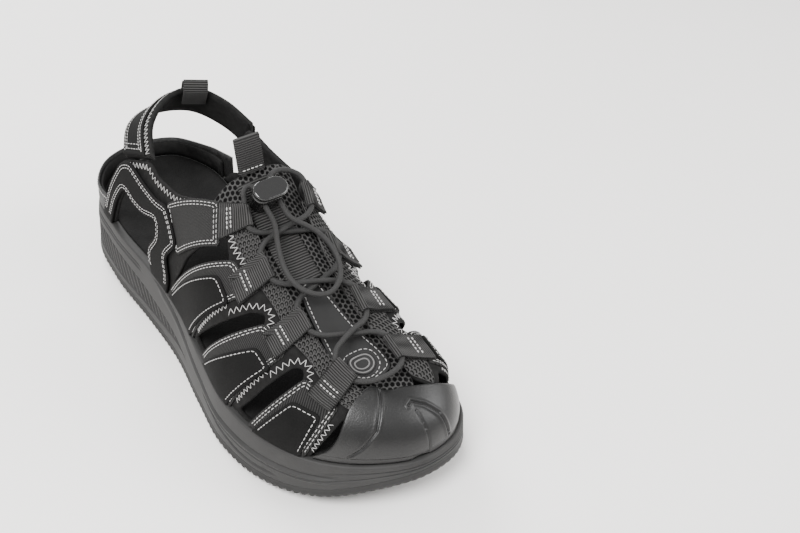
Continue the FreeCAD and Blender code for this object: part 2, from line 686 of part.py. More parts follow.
# route of the tight lace, from the cord lock round all the loops and back to it
LACE_ROUTE = [(-6.4, 167, 115.1), (-6.4, 161.1, 118.4), (-9.7, 159.2, 119.2),
              (-13.0, 161.2, 117.5), (-13.6, 163.5, 114), (-21.2, 176.8, 104.4),
              (1.4, 181.2, 99.3), (24.4, 184.2, 93.9),
              (19.9, 203.9, 86.8), (0.1, 209.6, 85.4), (-19.7, 215.4, 84.5),
              (-19.4, 232.6, 76.3), (-1.0, 238.4, 73.0), (17.3, 244.6, 71.3),
              (18.1, 265.4, 63.5), (-12.7, 264.8, 63.5),
              (-17.5, 245.7, 71.1), (-1.2, 240.5, 77.0), (15.0, 235.7, 75.0),
              (18.5, 215.7, 82.5), (-2.3, 210.2, 88.8), (-23.1, 204.2, 89.8),
              (-21.3, 184.7, 100.1), (0.2, 180.6, 102.9), (21.2, 176.3, 101.3),
              (25.4, 158.8, 110.8), (20.0, 154.5, 115.0), (12.0, 154.5, 118.5),
              (5.5, 157.5, 119.5), (2.0, 161.1, 118.4), (2.0, 167, 115.1)]
# route of the free end, a loop that hangs from the cord lock
LOOP_ROUTE = [(-6.4, 167, 115.1), (-6.4, 180.9, 107.3), (-11.5, 191, 101.6), (-14.5, 201, 96),
              (-14.5, 211, 91.5), (-8, 218.5, 87.5), (1, 220.5, 85.5), (9.5, 216.5, 88),
              (14.5, 208.5, 92), (15.5, 198, 96.5), (11.5, 188.5, 102), (2.0, 180.9, 107.3),
              (2.0, 167, 115.1)]
LOCK_HOLE_OFFSET = 4.2
LOCK_HOLE_RADIUS = 1.9
LOCK_LOW = -7.0
LOCK_HIGH = 4.0
SOCKET_FLOOR = -6.0
BUTTON_FOOT = -2.3
BUTTON_FLANGE = (5.6, 8.0)
BUTTON_TRAVEL = 1.4
SPRING_RADIUS = 2.2
SPRING_WIRE = 0.25
SPRING_TURNS = 3


def oval(length, width, low, high):
    """Upright prism with straight sides and round ends, long side along X."""
    r = width / 2
    half = length / 2 - r
    wire = Part.Wire([
        Part.LineSegment(Vec(-half, -r, low), Vec(half, -r, low)).toShape(),
        Part.Arc(Vec(half, -r, low), Vec(half + r, 0, low), Vec(half, r, low)).toShape(),
        Part.LineSegment(Vec(half, r, low), Vec(-half, r, low)).toShape(),
        Part.Arc(Vec(-half, r, low), Vec(-half - r, 0, low), Vec(-half, -r, low)).toShape()])
    return Part.Face(wire).extrude(Vec(0, 0, high - low))


def lacing():
    routes = {"lace_cord": LACE_ROUTE, "lace_end_loop": LOOP_ROUTE}
    tunnels = None
    for name, route in routes.items():
        points = [place_xyz(*p) for p in route]
        wire, tightest = cord_wire(points)
        cord = tube(wire, points, CORD_DIAMETER / 2)
        expected = math.pi * CORD_DIAMETER ** 2 / 4 * wire.Length
        print(f"{name}: length {wire.Length:.1f} mm, smallest bend {tightest:.1f} mm, "
              f"volume / expected {cord.Volume / expected:.4f}")
        keep(name, cord)
        if name == "lace_cord":
            tunnels = tube(wire, points, CORD_DIAMETER / 2 + CORD_CLEARANCE)
    for side, name in SIDE_NAME.items():
        for i, corners in enumerate(LACE_LOOP[side], 1):
            keep(f"{name}_lace_loop_{i}", layer(quad(side, *corners), WEBBING, 5, 5).cut(tunnels))


def cord_lock():
    holes = [Part.makeCylinder(LOCK_HOLE_RADIUS, 40, Vec(x, -20, 0), Vec(0, 1, 0))
             for x in (-LOCK_HOLE_OFFSET, LOCK_HOLE_OFFSET)]
    body = oval(18.0, 10.5, LOCK_LOW, LOCK_HIGH)
    rim = [e for e in body.Edges if abs(e.BoundBox.ZMin - e.BoundBox.ZMax) < 1e-6]
    body = body.makeFillet(1.4, rim)
    body = body.cut(oval(14.2, 7.2, SOCKET_FLOOR, LOCK_HIGH + 1))
    button = oval(13.8, 6.8, BUTTON_FOOT, BUTTON_FLANGE[0]).fuse(oval(19, 11.5, *BUTTON_FLANGE))
    button = button.removeSplitter()
    edges = [e for e in button.Edges if abs(e.BoundBox.ZMin - BUTTON_FLANGE[1]) < 1e-6]
    button = button.makeFillet(1.0, edges)
    for hole in holes:
        body = body.cut(hole)
        for lift in (0, BUTTON_TRAVEL / 2, BUTTON_TRAVEL):
            slot = hole.copy()
            slot.translate(Vec(0, 0, lift))
            button = button.cut(slot)
    rise = BUTTON_FOOT - SOCKET_FLOOR - 4 * SPRING_WIRE
    steps = SPRING_TURNS * 10
    turn = 2 * math.pi * SPRING_TURNS / steps
    coil = [Vec(SPRING_RADIUS * math.cos(turn * k), SPRING_RADIUS * math.sin(turn * k),
                SOCKET_FLOOR + 2 * SPRING_WIRE + rise * k / steps) for k in range(steps + 1)]
    spring = tube(cord_wire(coil)[0], coil, SPRING_WIRE)
    for name, shape in (("cord_lock_body", body), ("cord_lock_button", button),
                        ("cord_lock_spring", spring)):
        shape.rotate(Vec(0, 0, 0), Vec(1, 0, 0), math.degrees(LOCK_SLOPE))
        shape.translate(place_xyz(*LOCK_CENTRE))
        PIECES[name] = shape.Solids[0] if len(shape.Solids) == 1 else shape


sole_unit()
box = PIECES["outsole"].optimalBoundingBox(False)
SHIFT = Vec(-box.Center.x, -box.Center.y, -box.ZMin)
uppers()
ends()
tongue()
heel_strap()
tongue_pull()
lacing()
cord_lock()

os.makedirs("parts", exist_ok=True)
for stale in os.listdir("parts"):
    os.remove(os.path.join("parts", stale))
for name, shape in PIECES.items():
    shape = shape.copy()
    shape.translate(SHIFT)
    if not shape.isValid() or shape.Volume <= 0:
        print("check", name, shape.isValid(), shape.Volume)
    shape.exportStep(os.path.join("parts", name + ".step"))
print("shift", tuple(round(c, 3) for c in SHIFT), "pieces", len(PIECES))
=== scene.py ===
import json
import math

import bpy
import numpy as np
from mathutils import Matrix, Vector
from mathutils.geometry import delaunay_2d_cdt

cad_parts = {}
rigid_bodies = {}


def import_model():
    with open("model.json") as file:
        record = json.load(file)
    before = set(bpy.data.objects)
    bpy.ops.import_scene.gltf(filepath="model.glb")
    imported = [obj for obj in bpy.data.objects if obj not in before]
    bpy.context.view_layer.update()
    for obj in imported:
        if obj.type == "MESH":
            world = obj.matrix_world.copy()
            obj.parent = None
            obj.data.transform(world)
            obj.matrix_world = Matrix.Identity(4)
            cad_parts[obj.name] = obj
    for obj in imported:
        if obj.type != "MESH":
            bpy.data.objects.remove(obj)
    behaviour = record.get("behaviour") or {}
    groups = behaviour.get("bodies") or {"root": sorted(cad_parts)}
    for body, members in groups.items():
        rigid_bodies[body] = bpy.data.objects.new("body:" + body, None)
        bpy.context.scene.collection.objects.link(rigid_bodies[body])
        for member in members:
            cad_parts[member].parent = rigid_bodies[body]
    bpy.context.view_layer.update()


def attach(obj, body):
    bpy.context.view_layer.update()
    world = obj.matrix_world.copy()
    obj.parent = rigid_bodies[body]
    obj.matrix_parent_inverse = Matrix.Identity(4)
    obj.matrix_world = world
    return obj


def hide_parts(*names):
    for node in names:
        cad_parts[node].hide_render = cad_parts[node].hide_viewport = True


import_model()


# The model's own coordinates are millimetres: x across, y = 148 - station, z up.
HALF = 148.0
SHIFT = np.array([4.265, -0.217, 0.011])     # of the frame's origin, millimetres


def world(points):
    return (np.asarray(points, float) + SHIFT) / 1000


# ------------------------------------------------------------------ camera, light, floor
AZ, EL, ROLL = math.radians(-38.85), math.radians(39.14), math.radians(3.29)
LOOK_AT = np.array([0, 0, 50])
CAMERA_DISTANCE, CAMERA_ASIDE, CAMERA_RAISED = 642.5, 80.0, 3.26
back = np.array([math.sin(AZ) * math.cos(EL), -math.cos(AZ) * math.cos(EL), math.sin(EL)])
right = np.array([math.cos(AZ), math.sin(AZ), 0])
up = np.cross(back, right)
cam_x = right * math.cos(ROLL) + up * math.sin(ROLL)
cam_y = up * math.cos(ROLL) - right * math.sin(ROLL)
eye = world(LOOK_AT + back * CAMERA_DISTANCE + cam_x * CAMERA_ASIDE + cam_y * CAMERA_RAISED)
cam_data = bpy.data.cameras.new("camera")
cam_data.sensor_width = 36
cam_data.lens = 52.04
cam_data.clip_start = 0.01
camera = bpy.data.objects.new("camera", cam_data)
bpy.context.scene.collection.objects.link(camera)
camera.matrix_world = Matrix(np.vstack([np.column_stack([cam_x, cam_y, back, eye]),
                                        [0, 0, 0, 1]]).tolist())
bpy.context.scene.camera = camera


def area_light(name, place, target, size, power):
    data = bpy.data.lights.new(name, "AREA")
    data.shape = "DISK"
    data.size = size
    data.energy = power
    obj = bpy.data.objects.new(name, data)
    bpy.context.scene.collection.objects.link(obj)
    aim = Vector(target) - Vector(place)
    obj.matrix_world = (Matrix.Translation(Vector(place))
                        @ aim.to_track_quat("-Z", "Y").to_matrix().to_4x4())


area_light("key", (-0.55, -0.35, 1.0), (0, 0, 0.03), 0.6, 24)
area_light("fill", (0.8, -0.6, 0.7), (0, 0, 0.05), 0.8, 11)
area_light("rim", (0.1, 0.9, 0.8), (0, 0, 0.05), 0.7, 16)
sky = bpy.data.worlds.new("studio")
sky.use_nodes = True
sky.node_tree.nodes["Background"].inputs[0].default_value = (1, 1, 1, 1)
sky.node_tree.nodes["Background"].inputs[1].default_value = 0.95
bpy.context.scene.world = sky


# ------------------------------------------------------------------ materials
class Shade:
    """A small builder of node materials."""

    def __init__(self, name):
        self.mat = bpy.data.materials.new(name)
        self.mat.use_nodes = True
        self.tree = self.mat.node_tree
        self.bsdf = self.tree.nodes["Principled BSDF"]
        self.uv = self.add("ShaderNodeUVMap").outputs[0]
        coord = self.add("ShaderNodeTexCoord")
        self.object = coord.outputs["Object"]
        self.bumps = None

    def add(self, kind, **settings):
        node = self.tree.nodes.new(kind)
        for key, value in settings.items():
            setattr(node, key, value)
        return node

    def link(self, a, b):
        self.tree.links.new(a, b)

    def scaled(self, source, scale, turn=0.0):
        node = self.add("ShaderNodeMapping")
        node.inputs["Scale"].default_value = scale
        node.inputs["Rotation"].default_value = (0, 0, turn)
        self.link(source, node.inputs[0])
        return node.outputs[0]

    def noise(self, source, scale, detail=4.0, rough=0.6):
        node = self.add("ShaderNodeTexNoise")
        node.inputs["Scale"].default_value = scale
        node.inputs["Detail"].default_value = detail
        node.inputs["Roughness"].default_value = rough
        self.link(source, node.inputs["Vector"])
        return node.outputs[0]

    def cells(self, source, scale, feature="F1"):
        node = self.add("ShaderNodeTexVoronoi", feature=feature)
        node.inputs["Scale"].default_value = scale
        self.link(source, node.inputs["Vector"])
        return node.outputs[0]

    def wave(self, source, scale, direction="X", distort=0.0):
        node = self.add("ShaderNodeTexWave", bands_direction=direction)
        node.inputs["Scale"].default_value = scale
        node.inputs["Distortion"].default_value = distort
        node.inputs["Detail"].default_value = 1.0
        self.link(source, node.inputs["Vector"])
        return node.outputs[1]

    def math(self, operation, a, b):
        node = self.add("ShaderNodeMath", operation=operation)
        for k, value in enumerate((a, b)):
            if isinstance(value, (int, float)):
                node.inputs[k].default_value = value
            else:
                self.link(value, node.inputs[k])
        return node.outputs[0]

    def ramp(self, value, stops):
        node = self.add("ShaderNodeValToRGB")
        for k, (place, colour) in enumerate(stops):
            item = node.color_ramp.elements[k] if k < 2 else node.color_ramp.elements.new(place)
            item.position = place
            item.color = (*colour, 1)
        self.link(value, node.inputs[0])
        return node.outputs[0]

    def span(self, value, low, high):
        node = self.add("ShaderNodeMapRange")
        node.inputs["To Min"].default_value = low
        node.inputs["To Max"].default_value = high
        self.link(value, node.inputs[0])
        return node.outputs[0]

    def bump(self, height, strength, distance):
        node = self.add("ShaderNodeBump")
        node.inputs["Strength"].default_value = strength
        node.inputs["Distance"].default_value = distance
        self.link(height, node.inputs["Height"])
        if self.bumps is not None:
            self.link(self.bumps, node.inputs["Normal"])
        self.bumps = node.outputs[0]
        self.link(self.bumps, self.bsdf.inputs["Normal"])

    def colour(self, output):
        self.link(output, self.bsdf.inputs["Base Color"])

    def rough(self, value):
        if isinstance(value, float):
            self.bsdf.inputs["Roughness"].default_value = value
        else:
            self.link(value, self.bsdf.inputs["Roughness"])

    def set(self, **values):
        for key, value in values.items():
            self.bsdf.inputs[key.replace("_", " ")].default_value = value


def grey(value, warm=0.02):
    return (value * (1 + warm), value, value * (1 - warm))


def two_tone(shade, value, low, high, spread=0.22):
    return shade.ramp(value, [(0.5 - spread, grey(low)), (0.5 + spread, grey(high))])


def nubuck():
    s = Shade("nubuck")
    cloud = s.noise(s.object, 55, 5)
    nap = s.noise(s.object, 900, 3)
    s.colour(two_tone(s, s.math("ADD", s.math("MULTIPLY", cloud, 0.7),
                                s.math("MULTIPLY", nap, 0.3)), 0.0035, 0.008))
    s.rough(s.span(cloud, 0.78, 0.95))
    s.bump(s.noise(s.object, 1500, 3), 0.35, 0.0002)
    s.bump(s.noise(s.object, 240, 3), 0.25, 0.0004)
    s.set(Specular_IOR_Level=0.1)
    return s.mat


def smooth_leather():
    s = Shade("smooth leather")
    cloud = s.noise(s.object, 60, 4)
    s.colour(two_tone(s, cloud, 0.005, 0.01))
    s.rough(s.span(cloud, 0.5, 0.68))
    s.bump(s.cells(s.object, 1500, "DISTANCE_TO_EDGE"), 0.3, 0.0002)
    s.bump(s.noise(s.object, 300, 3), 0.2, 0.0003)
    s.set(Specular_IOR_Level=0.3)
    return s.mat


def neoprene():
    s = Shade("neoprene")
    s.colour(two_tone(s, s.noise(s.object, 300, 4), 0.006, 0.012))
    s.rough(0.92)
    s.bump(s.noise(s.object, 2200, 2), 0.4, 0.0002)
    s.set(Specular_IOR_Level=0.12)
    return s.mat


def ribbed_textile(name, low, high, pitch, cross, strength=0.8):
    """Cloth with ribs across U and a fine yarn along them, the rib valleys darkened as painted shade;
    UVs are in millimetres.
    """
    s = Shade(name)
    ribs = s.wave(s.scaled(s.uv, (1 / pitch, 1, 1)), 0.318, "X")
    yarn = s.wave(s.scaled(s.uv, (1, 1 / cross, 1)), 0.318, "Y")
    fuzz = s.noise(s.uv, 3.0, 3)
    rib_height_and_shade = s.math("ADD", s.math("MULTIPLY", ribs, 0.6),
                 s.math("ADD", s.math("MULTIPLY", yarn, 0.25), s.math("MULTIPLY", fuzz, 0.25)))
    # painted shade: colour follows the bump height, darker in the rib valleys and lighter on the
    # crests; the yarn and fuzz add random tone
    s.colour(two_tone(s, rib_height_and_shade, low, high, 0.3))
    s.rough(0.9)
    s.bump(rib_height_and_shade, strength, 0.0004)
    s.set(Specular_IOR_Level=0.15)
    return s.mat


def mesh_cloth():
    s = Shade("mesh cloth")
    depth = s.add("ShaderNodeAttribute", attribute_name="depth").outputs["Fac"]
    fuzz = s.noise(s.uv, 2.5, 3)
    # painted shade: the depth attribute colours the holes near black and the rims grey
    s.colour(s.ramp(s.math("ADD", depth, s.math("MULTIPLY", fuzz, 0.3)),
                    [(0.12, grey(0.05)), (0.6, grey(0.0015))]))
    s.rough(0.85)
    s.bump(s.noise(s.uv, 6.0, 2), 0.5, 0.0002)
    s.set(Specular_IOR_Level=0.15)
    return s.mat


def rubber(name, low, high, roughness=(0.55, 0.75), grain=0.3, shine=0.3):
    s = Shade(name)
    cloud = s.noise(s.object, 35, 5)
    s.colour(two_tone(s, cloud, low, high))
    s.rough(s.span(cloud, *roughness))
    s.bump(s.noise(s.object, 1100, 3), grain, 0.00015)
    s.bump(s.noise(s.object, 120, 4), 0.12, 0.0003)
    s.set(Specular_IOR_Level=shine)
    return s.mat


def gloss_plastic():
    s = Shade("gloss plastic")
    scuffs = s.noise(s.object, 900, 6, 0.75)
    s.colour(two_tone(s, scuffs, 0.004, 0.008))
    s.rough(s.span(scuffs, 0.08, 0.2))
    s.bump(s.noise(s.object, 160, 2), 0.06, 0.0003)
    s.set(Coat_Weight=0.5, Coat_Roughness=0.12)
    return s.mat


def braided():
    s = Shade("braided cord")
    s.colour(two_tone(s, s.noise(s.uv, 2.0, 3), 0.01, 0.028))
    s.rough(0.7)
    s.set(Specular_IOR_Level=0.3)
    a = s.wave(s.scaled(s.uv, (1, 1, 1), 0.9), 1.1, "X")
    b = s.wave(s.scaled(s.uv, (1, 1, 1), -0.9), 1.1, "X")
    s.bump(s.math("MAXIMUM", a, b), 0.5, 0.0002)
    return s.mat


def thread():
    s = Shade("thread")
    s.colour(two_tone(s, s.noise(s.object, 700, 3), 0.22, 0.45))
    s.rough(0.75)
    s.bump(s.noise(s.object, 3000, 2), 0.4, 0.0001)
    return s.mat


def counter_skin():
    s = Shade("counter skin")
    cells = s.cells(s.object, 620)
    s.colour(two_tone(s, s.noise(s.object, 80, 4), 0.006, 0.012))
    s.set(Specular_IOR_Level=0.3)
    s.rough(s.span(cells, 0.45, 0.7))
    s.bump(cells, 0.5, 0.0004)
    return s.mat


def knit_bed():
    s = Shade("footbed knit")
    loops = s.cells(s.scaled(s.uv, (0.7, 1.0, 1)), 1.0)
    s.colour(two_tone(s, s.noise(s.object, 90, 4), 0.004, 0.009))
    s.set(Specular_IOR_Level=0.15)
    s.rough(0.9)
    s.bump(loops, 0.5, 0.0003)
    return s.mat


def steel():
    s = Shade("spring steel")
    s.colour(two_tone(s, s.noise(s.object, 300, 2), 0.4, 0.55))
    s.rough(0.35)
    s.set(Metallic=1.0)
    return s.mat


def floor_paint():
    s = Shade("floor")
    s.colour(two_tone(s, s.noise(s.object, 3, 2), 0.86, 0.88))
    s.rough(0.6)
    return s.mat


MATERIALS = {
    "nubuck": nubuck(), "leather": smooth_leather(), "neoprene": neoprene(),
    "textile": ribbed_textile("ribbed textile", 0.004, 0.03, 1.1, 0.6),
    "webbing": ribbed_textile("webbing", 0.003, 0.05, 1.25, 0.6, 0.9),
    "elastic": ribbed_textile("elastic", 0.004, 0.03, 1.0, 0.5),
    "mesh": mesh_cloth(), "outsole": rubber("outsole rubber", 0.013, 0.022),
    "pod": rubber("pod rubber", 0.05, 0.085), "bright_pod": rubber("bright pod", 0.3, 0.4),
    "midsole": rubber("moulded foam", 0.016, 0.03),
    "toe": rubber("toe rubber", 0.003, 0.007, (0.3, 0.44), 0.7, 0.42),
    "lock": gloss_plastic(), "cord": braided(), "thread": thread(), "counter": counter_skin(),
    "bed": knit_bed(), "steel": steel(), "outline": rubber("raised print", 0.09, 0.14)}

bpy.ops.mesh.primitive_plane_add(size=6, location=(0, 0, 0))
floor = bpy.context.object
floor.name = "floor"
floor.data.materials.append(floor_paint())


# ------------------------------------------------------------------ shape of the sandal
OUTLINE = [(0, 2), (6, -21), (24.5, -36.5), (54, -41.5), (99, -42), (138, -44.5), (177, -52),
           (209, -57), (240, -53.5), (267, -40.5), (286, -19), (296, 6), (292.5, 28),
           (280, 41.5), (262, 47.5), (240, 48.5), (215, 46.5), (188, 43), (148, 38.5),
           (108, 36), (69, 38.5), (29.5, 37.5), (7, 25)]


def smooth(points):
    """A smooth function through (x, y) points that never overshoots them."""
    xs, ys = np.array(points, float).T
    h = np.diff(xs)
    rise = np.diff(ys) / h
    slope = np.zeros(len(xs))
    slope[0], slope[-1] = rise[0], rise[-1]
    for i in range(1, len(rise)):
        if rise[i - 1] * rise[i] > 0:
            w1, w2 = 2 * h[i] + h[i - 1], h[i] + 2 * h[i - 1]
            slope[i] = (w1 + w2) / (w1 / rise[i - 1] + w2 / rise[i])

    def value(x):
        x = np.clip(x, xs[0], xs[-1])
        i = np.clip(np.searchsorted(xs, x) - 1, 0, len(h) - 1)
        t = (x - xs[i]) / h[i]
        return ((1 + 2 * t) * (1 - t) ** 2 * ys[i] + t * (1 - t) ** 2 * h[i] * slope[i]
                + t * t * (3 - 2 * t) * ys[i + 1] + t * t * (t - 1) * h[i] * slope[i + 1])
    return value


SOLE_TOP = smooth([(-5, 41.5), (50, 40.5), (115, 38), (200, 33), (245, 31.5), (300, 30.5)])
SOLE_BOTTOM = smooth([(-5, 9.5), (0, 9), (50, 2.6), (102, 0), (148, 0), (200, 0.8), (245, 3.2),
                      (270, 8), (296, 18.5), (305, 21)])
RECESS_FLOOR = smooth([(-6, 28.5), (50, 27.5), (115, 25), (200, 20), (245, 18.5), (268, 19),
                       (285, 23), (302, 28)])
RIDGE_STATION = smooth([(0, 45), (60, 82), (120, 122), (180, 168), (240, 216), (300, 266)])
RIDGE_HEIGHT = smooth([(45, 160), (80, 150), (100, 141), (150, 116), (185, 94), (220, 74),
                       (250, 60), (272, 49)])
RIDGE_SIDE = smooth([(45, 8), (100, 3), (160, -2), (220, -3), (268, 0)])
FULL_LATERAL = smooth([(0, 1.0), (60, 1.0), (120, 0.95), (200, 0.95), (300, 0.85)])
FULL_MEDIAL = smooth([(0, 1.0), (50, 0.68), (90, 0.55), (130, 0.5), (150, 0.6), (175, 0.88),
                      (210, 1.05), (260, 0.9), (300, 0.85)])
COLLAR_FLARE = smooth([(0, 0), (60, 0), (95, 3), (130, 5), (160, 2.5), (190, 0), (300, 0)])


def along(points):
    """Distance along a line of points."""
    return np.concatenate([[0], np.cumsum(np.linalg.norm(np.diff(points, axis=0), axis=1))])


def at_lengths(values, lengths, places):
    """Rows of values, known at lengths along a line, at other places along it."""
    return np.column_stack([np.interp(places, lengths, values[:, k])
                            for k in range(values.shape[1])])


def resample(points, step, closed=False):
    points = np.asarray(points, float)
    if closed:
        points = np.vstack([points, points[:1]])
    d = along(points)
    count = max(int(round(d[-1] / step)), 3)
    places = np.linspace(0, d[-1], count + 1)
    if closed:
        places = places[:-1]
    return at_lengths(points, d, places)


def closed_curve(points, per_span=20):
    pts = np.array(points, float)
    n = len(pts)
    out = []
    for i in range(n):
        p0, p1, p2, p3 = (pts[(i + k) % n] for k in (-1, 0, 1, 2))
        d1, d2, d3 = (np.linalg.norm(b - a) for a, b in ((p0, p1), (p1, p2), (p2, p3)))
        m1 = ((p1 - p0) / d1 - (p2 - p0) / (d1 + d2) + (p2 - p1) / d2) * d2
        m2 = ((p2 - p1) / d2 - (p3 - p1) / (d2 + d3) + (p3 - p2) / d3) * d2
        for t in np.arange(per_span) / per_span:
            out.append((1 + 2 * t) * (1 - t) ** 2 * p1 + t * (1 - t) ** 2 * m1
                       + t * t * (3 - 2 * t) * p2 + t * t * (t - 1) * m2)
    return np.array(out)


OUT = closed_curve(OUTLINE)
OUT_LENGTH = along(np.vstack([OUT, OUT[:1]]))[-1]
OUT = resample(OUT, OUT_LENGTH / int(OUT_LENGTH), closed=True)


def inset_outline(distance, base=OUT):
    """The outline moved inward, by one distance or one for each point."""
    step = np.roll(base, -1, 0) - np.roll(base, 1, 0)
    step /= np.linalg.norm(step, axis=1)[:, None]
    return base + np.column_stack([-step[:, 1], step[:, 0]]) * np.reshape(distance, (-1, 1))


UPPER_INSET = 3.5
RAIL = inset_outline(UPPER_INSET)
RAIL = np.roll(RAIL, -int(np.argmin(RAIL[:, 0])), 0)
RAIL = np.vstack([RAIL, RAIL[:1]])
TOE = int(np.argmax(RAIL[:, 0]))
AROUND = len(RAIL) - 1


def rail_place(side, station):
    """Place along the rail, from the heel round by the lateral side."""
    if side < 0:
        return np.interp(station, np.maximum.accumulate(RAIL[:TOE + 1, 0]), np.arange(TOE + 1))
    medial = RAIL[TOE:, 0][::-1]
    return np.interp(station, np.maximum.accumulate(medial), np.arange(AROUND, TOE - 1, -1))


def last_point(place, v):
    place = np.mod(place, AROUND)
    i = np.floor(place).astype(int)
    t = place - i
    l = RAIL[i, 0] * (1 - t) + RAIL[i + 1, 0] * t
    w = RAIL[i, 1] * (1 - t) + RAIL[i + 1, 1] * t
    lateral = i < TOE
    full = np.where(lateral, FULL_LATERAL(l), FULL_MEDIAL(l))
    ridge = RIDGE_STATION(l)
    angle = np.clip(v, 0, 1) ** (1 / full) * math.pi / 2
    inward = 1 - np.maximum(np.cos(angle), 0) ** full
    upward = np.sin(angle) ** full
    flare = np.where(lateral, 0, COLLAR_FLARE(l) * np.sin(math.pi * np.minimum(v / 0.6, 1)))
    return np.column_stack([w + (RIDGE_SIDE(ridge) - w) * inward + flare,
                            HALF - (l + (ridge - l) * inward),
                            SOLE_TOP(l) + (RIDGE_HEIGHT(ridge) - SOLE_TOP(l)) * upward])


def unit(vectors):
    return vectors / np.maximum(np.linalg.norm(vectors, axis=1), 1e-9)[:, None]


def last(place, v):
    """Points of the last and its outward normals."""
    v = np.clip(v, 0.003, 0.999)
    here = last_point(place, v)
    around = last_point(place + 2, v) - last_point(place - 2, v)
    rise = last_point(place, np.minimum(v + 0.012, 0.999)) - last_point(place, v - 0.012)
    normal = unit(np.cross(around, rise))
    inside = np.column_stack([RIDGE_SIDE(HALF - here[:, 1]), here[:, 1], here[:, 1] * 0 + 20])
    flip = np.sum(normal * (here - inside), 1) < 0
    normal[flip] *= -1
    return here, normal


def side_field(side):
    return lambda q: last(rail_place(side, q[:, 0]), q[:, 1])


def rail_field(q):
    return last(q[:, 0], q[:, 1])


def spots(station, x):
    """Rail places and v of the points of the last above (station, x), near the ridge."""
    middle = RIDGE_SIDE(station)
    left = x < middle
    reach = np.abs(x - middle)
    low, high = np.full(len(x), 0.2), np.ones(len(x))
    for _ in range(16):
        v = (low + high) / 2
        heel, toe = np.where(left, 0.0, AROUND - 0.001), np.full(len(x), float(TOE))
        for _ in range(16):
            place = (heel + toe) / 2
            here = last_point(np.where(left, np.minimum(place, TOE - 0.001), place), v)
            short = HALF - here[:, 1] < station
            heel = np.where(short, place, heel)
            toe = np.where(short, toe, place)
        far = np.abs(here[:, 0] - middle) > reach
        low = np.where(far, v, low)
        high = np.where(far, high, v)
    return place, v


def catmull(grid, places):
    """Smooth interpolation of rows of a grid at fractional places."""
    n = len(grid)
    i = np.clip(np.floor(places).astype(int), 0, n - 2)
    t = (places - i).reshape((-1,) + (1,) * (grid.ndim - 1))
    p1, p2 = grid[i], grid[i + 1]
    p0 = np.where((i > 0).reshape(t.shape), grid[np.maximum(i - 1, 0)], 2 * p1 - p2)
    p3 = np.where((i + 2 < n).reshape(t.shape), grid[np.minimum(i + 2, n - 1)], 2 * p2 - p1)
    return 0.5 * (2 * p1 + (p2 - p0) * t + (2 * p0 - 5 * p1 + 4 * p2 - p3) * t ** 2
                  + (3 * p1 - p0 - 3 * p2 + p3) * t ** 3)


def lookup(points, normals, us, ts):
    """A field over q = (a, b) from a coarse grid sampled at us by ts."""
    both = np.concatenate([points, normals], 2)

    def field(q):
        a = np.interp(q[:, 0], us, np.arange(len(us)))
        b = np.interp(q[:, 1], ts, np.arange(len(ts)))
        rows = catmull(both, a)
        i = np.clip(np.floor(b).astype(int), 0, len(ts) - 2)
        t = (b - i)[:, None]
        k = np.arange(len(q))
        p1, p2 = rows[k, i], rows[k, i + 1]
        p0 = np.where((i > 0)[:, None], rows[k, np.maximum(i - 1, 0)], 2 * p1 - p2)
        p3 = np.where((i + 2 < len(ts))[:, None], rows[k, np.minimum(i + 2, len(ts) - 1)],
                      2 * p2 - p1)
        out = 0.5 * (2 * p1 + (p2 - p0) * t + (2 * p0 - 5 * p1 + 4 * p2 - p3) * t ** 2
                     + (3 * p1 - p0 - 3 * p2 + p3) * t ** 3)
        return out[:, :3], unit(out[:, 3:])
    return field


def ridge_field():
    """q = (station, distance from the ridge line), over the instep."""
    us, ts = np.linspace(143, 276, 44), np.linspace(-32, 32, 33)
    shape = (len(us), len(ts))
    a, b = (g.ravel() for g in np.meshgrid(us, ts, indexing="ij"))
    place, v = spots(a, RIDGE_SIDE(a) + b)
    place = np.where((b < 0) & (place >= TOE), TOE - 0.001, place)
    z = last_point(place, v)[:, 2].reshape(shape)
    # smooth the crest, where the two sides of the last meet
    for _ in range(6):
        z[:, 11:22] = (z[:, 10:21] + 2 * z[:, 11:22] + z[:, 12:23]) / 4
    p = np.stack([(RIDGE_SIDE(a) + b).reshape(shape), (HALF - a).reshape(shape), z], 2)
    n = np.cross(np.gradient(p, axis=1), np.gradient(p, axis=0))
    n *= np.sign(n[:, :, 2:3])
    n /= np.linalg.norm(n, axis=2)[:, :, None]
    return lookup(p, n, us, ts)


OVER_RIDGE = ridge_field()


def to_last(side, corners):
    """(station, v) on a side of the last for (station, height) corners seen from the side."""
    target = np.array(corners, float)
    gl, gv = np.meshgrid(np.linspace(30, 210, 61), np.linspace(0.004, 0.99, 50), indexing="ij")
    gl, gv = gl.ravel(), gv.ravel()
    p = last_point(rail_place(side, gl), gv)
    seen = np.column_stack([HALF - p[:, 1], p[:, 2]])
    nearest = np.argmin(np.linalg.norm(target[:, None] - seen[None], axis=2), 1)
    q = np.column_stack([gl[nearest], gv[nearest]])

    def view(q):
        p = last_point(rail_place(side, q[:, 0]), q[:, 1])
        return np.column_stack([HALF - p[:, 1], p[:, 2]])
    for _ in range(14):
        f = view(q) - target
        j0 = (view(q + [0.2, 0]) - view(q - [0.2, 0])) / 0.4
        j1 = (view(q + [0, 0.002]) - view(q - [0, 0.002])) / 0.004
        det = j0[:, 0] * j1[:, 1] - j0[:, 1] * j1[:, 0]
        det = np.where(np.abs(det) < 1e-3, 1e-3, det)
        dl = (f[:, 0] * j1[:, 1] - f[:, 1] * j1[:, 0]) / det
        dv = (j0[:, 0] * f[:, 1] - j0[:, 1] * f[:, 0]) / det
        q = q - np.clip(np.column_stack([dl, dv]), [-4, -0.05], [4, 0.05])
        q[:, 1] = np.clip(q[:, 1], 0.006, 0.98)
    return q


